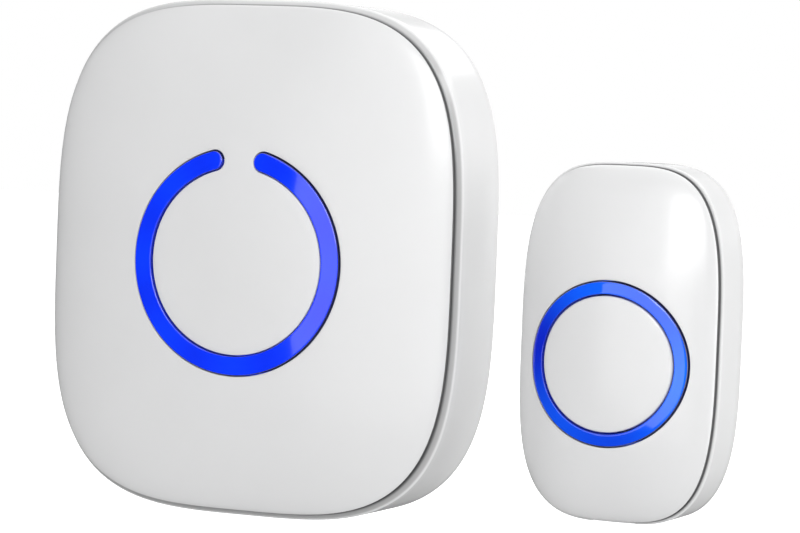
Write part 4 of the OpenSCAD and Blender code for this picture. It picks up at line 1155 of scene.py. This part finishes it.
ring_profile = [on_dome(closed_inner + inward, RING_PROUD - down)
                for inward, down in quarter(RING_EDGE)[::-1]]
band_radii = np.linspace(closed_inner + RING_EDGE, closed_outer - RING_EDGE, BAND_LOOPS)
ring_profile += [on_dome(radius, RING_PROUD) for radius in band_radii[1:]]
ring_profile += [on_dome(closed_outer - inward, RING_PROUD - down) for inward, down in quarter(RING_EDGE)[1:]]
flange_r = closed_outer + BUTTON_FLANGE
ring_profile += rows_of(button_loop, (closed_outer, closed_seat), (flange_r, closed_seat),
                        (flange_r, closed_foot), (closed_inner, closed_foot))
make_piece("closed_light_ring", [grid(stack(*ring_profile, ring_profile[0]))], transmitter,
           "transmitter_front", button_guide, "ring_plastic", "transmitter_light_ring")

# %% Push button
BUTTON_CLEARANCE, BUTTON_WALL, BUTTON_EDGE, STEM_R = 0.3, 1.6, 0.3, 2.2
CAP_LOOPS = 14

button_r = closed_inner - BUTTON_CLEARANCE
cap_foot = -box_mm("push_button")[1][1]
stem_foot = -box_mm("button_switch_plunger")[0][1]
button_share = button_r / transmitter.a
pocket = transmitter.rim + float(swell(button_share, transmitter.crown, transmitter.edge)) - BUTTON_WALL
cap_rows = [on_dome(radius, BUTTON_PROUD) for radius in np.linspace(0, button_r - BUTTON_EDGE, CAP_LOOPS)]
cap_rows += [on_dome(button_r - inward, BUTTON_PROUD - down) for inward, down in quarter(BUTTON_EDGE)[1:]]
pocket_r = button_r - BUTTON_WALL
cap_rows += rows_of(button_loop, (button_r, cap_foot), (pocket_r, cap_foot), (pocket_r, pocket),
                    (STEM_R, pocket), (STEM_R, stem_foot), (0.0, stem_foot))
make_piece("button_cap", [grid(stack(*cap_rows))], transmitter, "push_button", cover_gloss, "cover_plastic",
           "push_button")

# %% [markdown]
# ## The transmitter's base
#
# The base is a shallow tray with a bevelled rim, a ledge for the seal, two holes for wall screws and a
# small notch at the bottom for a screwdriver that pulls the front off. The notch is made by pushing the
# grid in: double columns at its two ends and double rows at its floor keep its edges crisp.

# %% Outline of the base with its notch
NOTCH_W, NOTCH_T, NOTCH_DEPTH, CRISP = 8.0, 1.4, 1.2, 0.01
NOTCH_COLUMNS, BASE_REST = 9, 190

notch_half = NOTCH_W / 2
notch_inside = np.linspace(CRISP - notch_half, notch_half - CRISP, NOTCH_COLUMNS)
notch_stops = np.concatenate([[-notch_half - CRISP], notch_inside, [notch_half + CRISP]])
notch_floor = transmitter.seam - NOTCH_T
notch_back = -transmitter.b - transmitter.bevel + NOTCH_DEPTH


def base_loop(grow, notched=False):
    """The transmitter's outline with stops at the notch's ends, pushed in there where the notch is."""
    loop = split_loop(transmitter, grow, "bottom", notch_stops, BASE_REST)
    inner = slice(1, len(notch_stops) - 1)
    if notched:
        loop[inner, 1] = np.maximum(loop[inner, 1], notch_back)
    return loop


print("notch floor", round(notch_floor, 2), "mm over the wall, points of the outline", len(base_loop(0)))

# %% Base tray
BASE_WALL, BASE_FLOOR, BASE_ROUND, BASE_BEVEL_ROUND, SEAL_T = 1.6, 1.8, 0.8, 0.3, 0.6
LEDGE_SHRINK, WALL_HOLE_R, SINK_R, SINK_L, HOLE_PITCH = 2.35, 1.8, 3.6, 0.6, 40.0
BASE_SHADE_AT, BASE_SHADE = np.array([-0.3, -0.1, 0.0]), [0, 0.4, 1]
BASE_ROWS = 5

base_inner = transmitter.bevel - BASE_WALL
ledge = shell_end - SEAL_T
base_rows = [(base_loop(transmitter.bevel - inward), down) for inward, down in quarter(BASE_ROUND, steps=5)]
base_rows += [(base_loop(transmitter.bevel), w)
              for w in np.linspace(BASE_ROUND, notch_floor - CRISP, BASE_ROWS)[1:]]
base_rows += [(base_loop(transmitter.bevel, True), notch_floor + CRISP)]
base_rows += [(base_loop(grow, True), w) for grow, w in bevel_rows(transmitter, BASE_BEVEL_ROUND)]
base_rows += [(base_loop(base_inner), w)
              for w in (transmitter.seam, transmitter.seam - SHADE_STOPS[1], ledge)]
base_rows += [(base_loop(-LEDGE_SHRINK), w) for w in (ledge, BASE_FLOOR)]
hole_places = [(0.0, way * HOLE_PITCH / 2) for way in (-1, 1)]
mouths = [circle_loop(WALL_HOLE_R + LIP, place) for place in hole_places]
sinks = [circle_loop(SINK_R, place) for place in hole_places]
sink_floor = BASE_FLOOR - SINK_L
wall_hole = lipped(WALL_HOLE_R, 0.0) + [(WALL_HOLE_R, sink_floor), (SINK_R, sink_floor), (SINK_R, BASE_FLOOR)]
base_surfaces = [grid(stack(*base_rows)), flat_face(base_rows[0][0], mouths, 0.0),
                 flat_face(base_rows[-1][0], sinks, BASE_FLOOR)]
base_surfaces += [revolve(wall_hole, place) for place in hole_places]
base_tray = make_piece("base_tray", base_surfaces, transmitter, "transmitter_base", housing_satin,
                       "housing_plastic", "transmitter_base")
# Painted shade on the base's rim edge beside the gap.
paint_seam_shade(base_tray, transmitter, transmitter.seam + BASE_SHADE_AT, BASE_SHADE)

# %% [markdown]
# ## Finishes for the pieces inside
#
# Boards, chips, coils and the coin cell keep their CAD shapes, which are exact, and only take a finish
# each. They show when the front is off and through the sound holes, so even these have their own grain,
# gloss and tone.

# %% Circuit board finish
def board_finish():
    """Green lacquer over copper: tracks a little lighter and raised, pads bare and metallic."""
    material, tree, shader, place = new_finish("board_lacquer")
    tracks = add(tree, "ShaderNodeGroup", {"node_tree": BOARD}, Vector=place)
    green = mix_colours(tree, tracks.outputs["Tracks"], (0.006, 0.07, 0.022), (0.016, 0.13, 0.04))
    padded = mix_colours(tree, tracks.outputs["Pads"], green, (0.62, 0.6, 0.55))
    relief = add(tree, "ShaderNodeBump", Height=tracks.outputs["Tracks"], Strength=0.4, Distance=3e-5)
    feed(tree, shader, Base_Color=padded, Metallic=tracks.outputs["Pads"], Normal=relief.outputs["Normal"],
         Roughness=0.32)
    return material


board_lacquer = board_finish()
print("board finish", board_lacquer.name)

# %% Finishes for inner nodes
# Plastics and such: name, colour, roughness, spread of the tone, depth of the grain, nodes
PLASTICS = (
    ("carrier_phenolic", (0.05, 0.05, 0.052), 0.5, 0.15, 2e-5, "blade_carrier"),
    ("chip_epoxy", (0.018, 0.018, 0.02), 0.55, 0.2, 1e-5,
     "melody_chip rectifier board_link key_switches button_switch radio_chip"),
    ("plunger_nylon", (0.09, 0.09, 0.095), 0.45, 0.1, 1e-5,
     "volume_plunger next_melody_plunger previous_melody_plunger button_switch_plunger"),
    ("led_resin", (0.85, 0.82, 0.55), 0.2, 0.08, 2e-6, "ring_leds transmitter_leds"),
    ("film_box", (0.72, 0.42, 0.03), 0.35, 0.06, 8e-6, "film_capacitor"),
    ("can_sleeve", (0.015, 0.02, 0.09), 0.3, 0.15, 2e-6, "reservoir_capacitor"),
    ("resistor_coat", (0.5, 0.36, 0.2), 0.6, 0.12, 2e-5, "fuse_resistor"),
    ("magnet_ferrite", (0.06, 0.06, 0.062), 0.6, 0.2, 2e-5, "speaker_magnet"),
    ("cone_film", (0.03, 0.03, 0.032), 0.5, 0.2, 1e-5, "speaker_cone"),
    ("seal_rubber", (0.03, 0.03, 0.03), 0.75, 0.15, 2e-5, "transmitter_seal"),
    ("lead_sleeve", (0.42, 0.02, 0.015), 0.42, 0.12, 8e-6, "mains_leads speaker_leads"),
)
# Metals: the same, with the stretch of the brushed lines before the nodes
METALS = (
    ("can_tin", (0.66, 0.66, 0.65), 0.35, 0.08, 5e-6, (1, 1, 1), "radio_module"),
    ("coil_copper", (0.55, 0.2, 0.07), 0.3, 0.15, 4e-6, (1, 1, 1), "receiver_antenna transmitter_antenna"),
    ("basket_zinc", (0.42, 0.42, 0.43), 0.38, 0.1, 5e-6, (1, 1, 1), "speaker_basket"),
    ("coin_steel", (0.66, 0.66, 0.65), 0.24, 0.06, 4e-6, (1, 1, 0.1), "coin_cell"),
    ("contact_brass", (0.72, 0.52, 0.2), 0.28, 0.08, 4e-6, (0.1, 1, 1), "coin_cell_clip coin_cell_contact"),
)

finished = [(board_lacquer, "main_board power_board transmitter_board"), (blade_nickel, "plug_blades"),
            (screw_steel, "board_screws carrier_screws")]
finished += [(skin(name, colour, roughness, spread=spread, depth=depth), names)
             for name, colour, roughness, spread, depth, names in PLASTICS]
finished += [(skin(name, colour, roughness, BRUSHED, 1.0, spread, depth, Stretch=stretch), names)
             for name, colour, roughness, spread, depth, stretch, names in METALS]
for finish, names in finished:
    for name in names.split():
        nodes[name].data.materials.clear()
        nodes[name].data.materials.append(finish)
print("finished inner nodes", sum(len(names.split()) for _, names in finished))

# %% [markdown]
# ## Studio
#
# The units hang in front of plain white, as on a product page. A pale floor well below them takes their
# shadow. It glows for the camera alone and stays out of the reflections. The world is white to the camera.
# To the units it is a backdrop behind them, white but for the far left. Below the horizon it dims from
# right to left, and in front of the units there is only a dark room. One could light the units by the
# world alone, but the picture's reflections have edges, so softboxes do the rest: a broad upright one in
# front shows as the patch with a straight edge in the polished rings, one on the right makes the covers'
# highlights, a weak one lights the right walls, one behind brightens the tops and a weak one fills in from
# above.

# %% Floor
FLOOR_AT, FLOOR_HALF = -0.1, 4.0
FLOOR_TONE, GLOW_NEAR, GLOW_FROM, GLOW_TO = 0.65, 0.8, 0.25, 0.7


def floor_finish():
    """Pale paper that takes the units' soft shadow and, for the camera, glows to pure white further off."""
    material, tree, shader, place = new_finish("floor_paper")
    away = add(tree, "ShaderNodeVectorMath", {"operation": "LENGTH"}, i0=place).outputs["Value"]
    seen = add(tree, "ShaderNodeLightPath").outputs["Is Camera Ray"]
    glow = sums(tree, "MULTIPLY", ramp(tree, away, GLOW_FROM, GLOW_TO, GLOW_NEAR), seen)
    feed(tree, shader, Base_Color=(FLOOR_TONE, FLOOR_TONE, FLOOR_TONE, 1), Roughness=0.9,
         Specular_IOR_Level=0.0, Emission_Color=(1, 1, 1, 1), Emission_Strength=glow)
    return material


floor_mesh = bpy.data.meshes.new("floor")
floor_corners = [(x, y, FLOOR_AT) for x, y in corners_of((FLOOR_HALF, FLOOR_HALF))]
floor_mesh.from_pydata(floor_corners, [], [(0, 2, 3, 1)])
floor_mesh.materials.append(floor_finish())
floor = new_object("floor", floor_mesh)
floor.visible_glossy = False
print("floor", 2 * FLOOR_HALF, "m wide at", FLOOR_AT, "m")

# %% World
FRONT_LEVEL, BACK_LEVEL, LEFT_SHARE, LOW_SHARE, HIGH_SHARE = 0.03, 0.9, 0.2, 0.65, 0.7
# Parts of a direction between which a level rises or falls, from the left, from the front and from below
ACROSS, FAR_LEFT, HORIZON = (-0.4, 0.4), (-0.7, -0.5), (0.02, 0.08)
BEHIND, BELOW, ABOVE = (-0.25, 0.2), (-0.35, -0.05), (0.1, 0.25)

world = bpy.data.worlds.new("studio")
bpy.context.scene.world = world
world.use_nodes = True
sky = world.node_tree
path = add(sky, "ShaderNodeLightPath").outputs
direction = add(sky, "ShaderNodeTexCoord").outputs["Generated"]
towards = add(sky, "ShaderNodeSeparateXYZ", Vector=direction).outputs

high_left = sums(sky, "MULTIPLY", ramp(sky, towards["X"], *FAR_LEFT), ramp(sky, towards["Z"], *HORIZON))
sideways = sums(sky, "MAXIMUM", ramp(sky, towards["X"], *ACROSS, LEFT_SHARE), high_left)
# The backdrop is plain white in mirror images, as it is to the camera, and a little weaker as a light
backdrop = sums(sky, "MULTIPLY", ramp(sky, path["Is Glossy Ray"], 0.0, 1.0, BACK_LEVEL), sideways)
for part, limits, low, high in (("Y", BEHIND, 0.0, 1.0), ("Z", BELOW, LOW_SHARE, 1.0),
                                ("Z", ABOVE, 1.0, HIGH_SHARE)):
    backdrop = sums(sky, "MULTIPLY", backdrop, ramp(sky, towards[part], *limits, low, high))
clear = sums(sky, "MAXIMUM", path["Is Camera Ray"], path["Is Transmission Ray"])
level = sums(sky, "MAXIMUM", clear, sums(sky, "MAXIMUM", backdrop, FRONT_LEVEL))
feed(sky, sky.nodes["Background"], Color=(1, 1, 1, 1), Strength=level)
print("world nodes", len(sky.nodes))


# %% Softboxes
def softbox(name, azimuth, elevation, distance, width, height, power, upright=False):
    """An area lamp that looks at the units from a compass angle and a height angle, in degrees.

    An upright one stands straight up and looks level, so its edges stay upright in a reflection."""
    side, rise = np.radians([azimuth, elevation])
    away = Vector((np.sin(side) * np.cos(rise), -np.cos(side) * np.cos(rise), np.sin(rise)))
    lamp = bpy.data.lights.new(name, "AREA")
    lamp.shape = "RECTANGLE"
    lamp.size, lamp.size_y, lamp.energy = width, height, power
    placed = new_object(name, lamp)
    placed.location = (cad_low + cad_high) / 2 + away * distance
    if upright:
        away.z = 0
    placed.rotation_euler = (-away).to_track_quat("-Z", "Y").to_euler()
    print(name, "at", [round(value, 2) for value in placed.location], "m with", power, "W")


softbox("front_box", 9.2, 22.3, 1.513, 1.6, 2.05, 11.0, upright=True)
softbox("key_box", 34, 23.5, 1.2, 1.0, 0.71, 7.9)
softbox("right_box", 115, 6, 1.1, 0.6, 1.0, 2.7)
softbox("rim_box", 184, 58, 1.2, 1.5, 1.75, 8.5)
softbox("top_box", 20, 75, 1.2, 1.2, 0.8, 2.0)
bpy.context.scene.view_settings.view_transform = "Standard"

# %% [markdown]
# ## Sizes at the end
#
# The dressed set must not be bigger than its CAD frame, whose box is written down here.

bpy.context.view_layer.update()
print("CAD box", list(cad_low), list(cad_high))
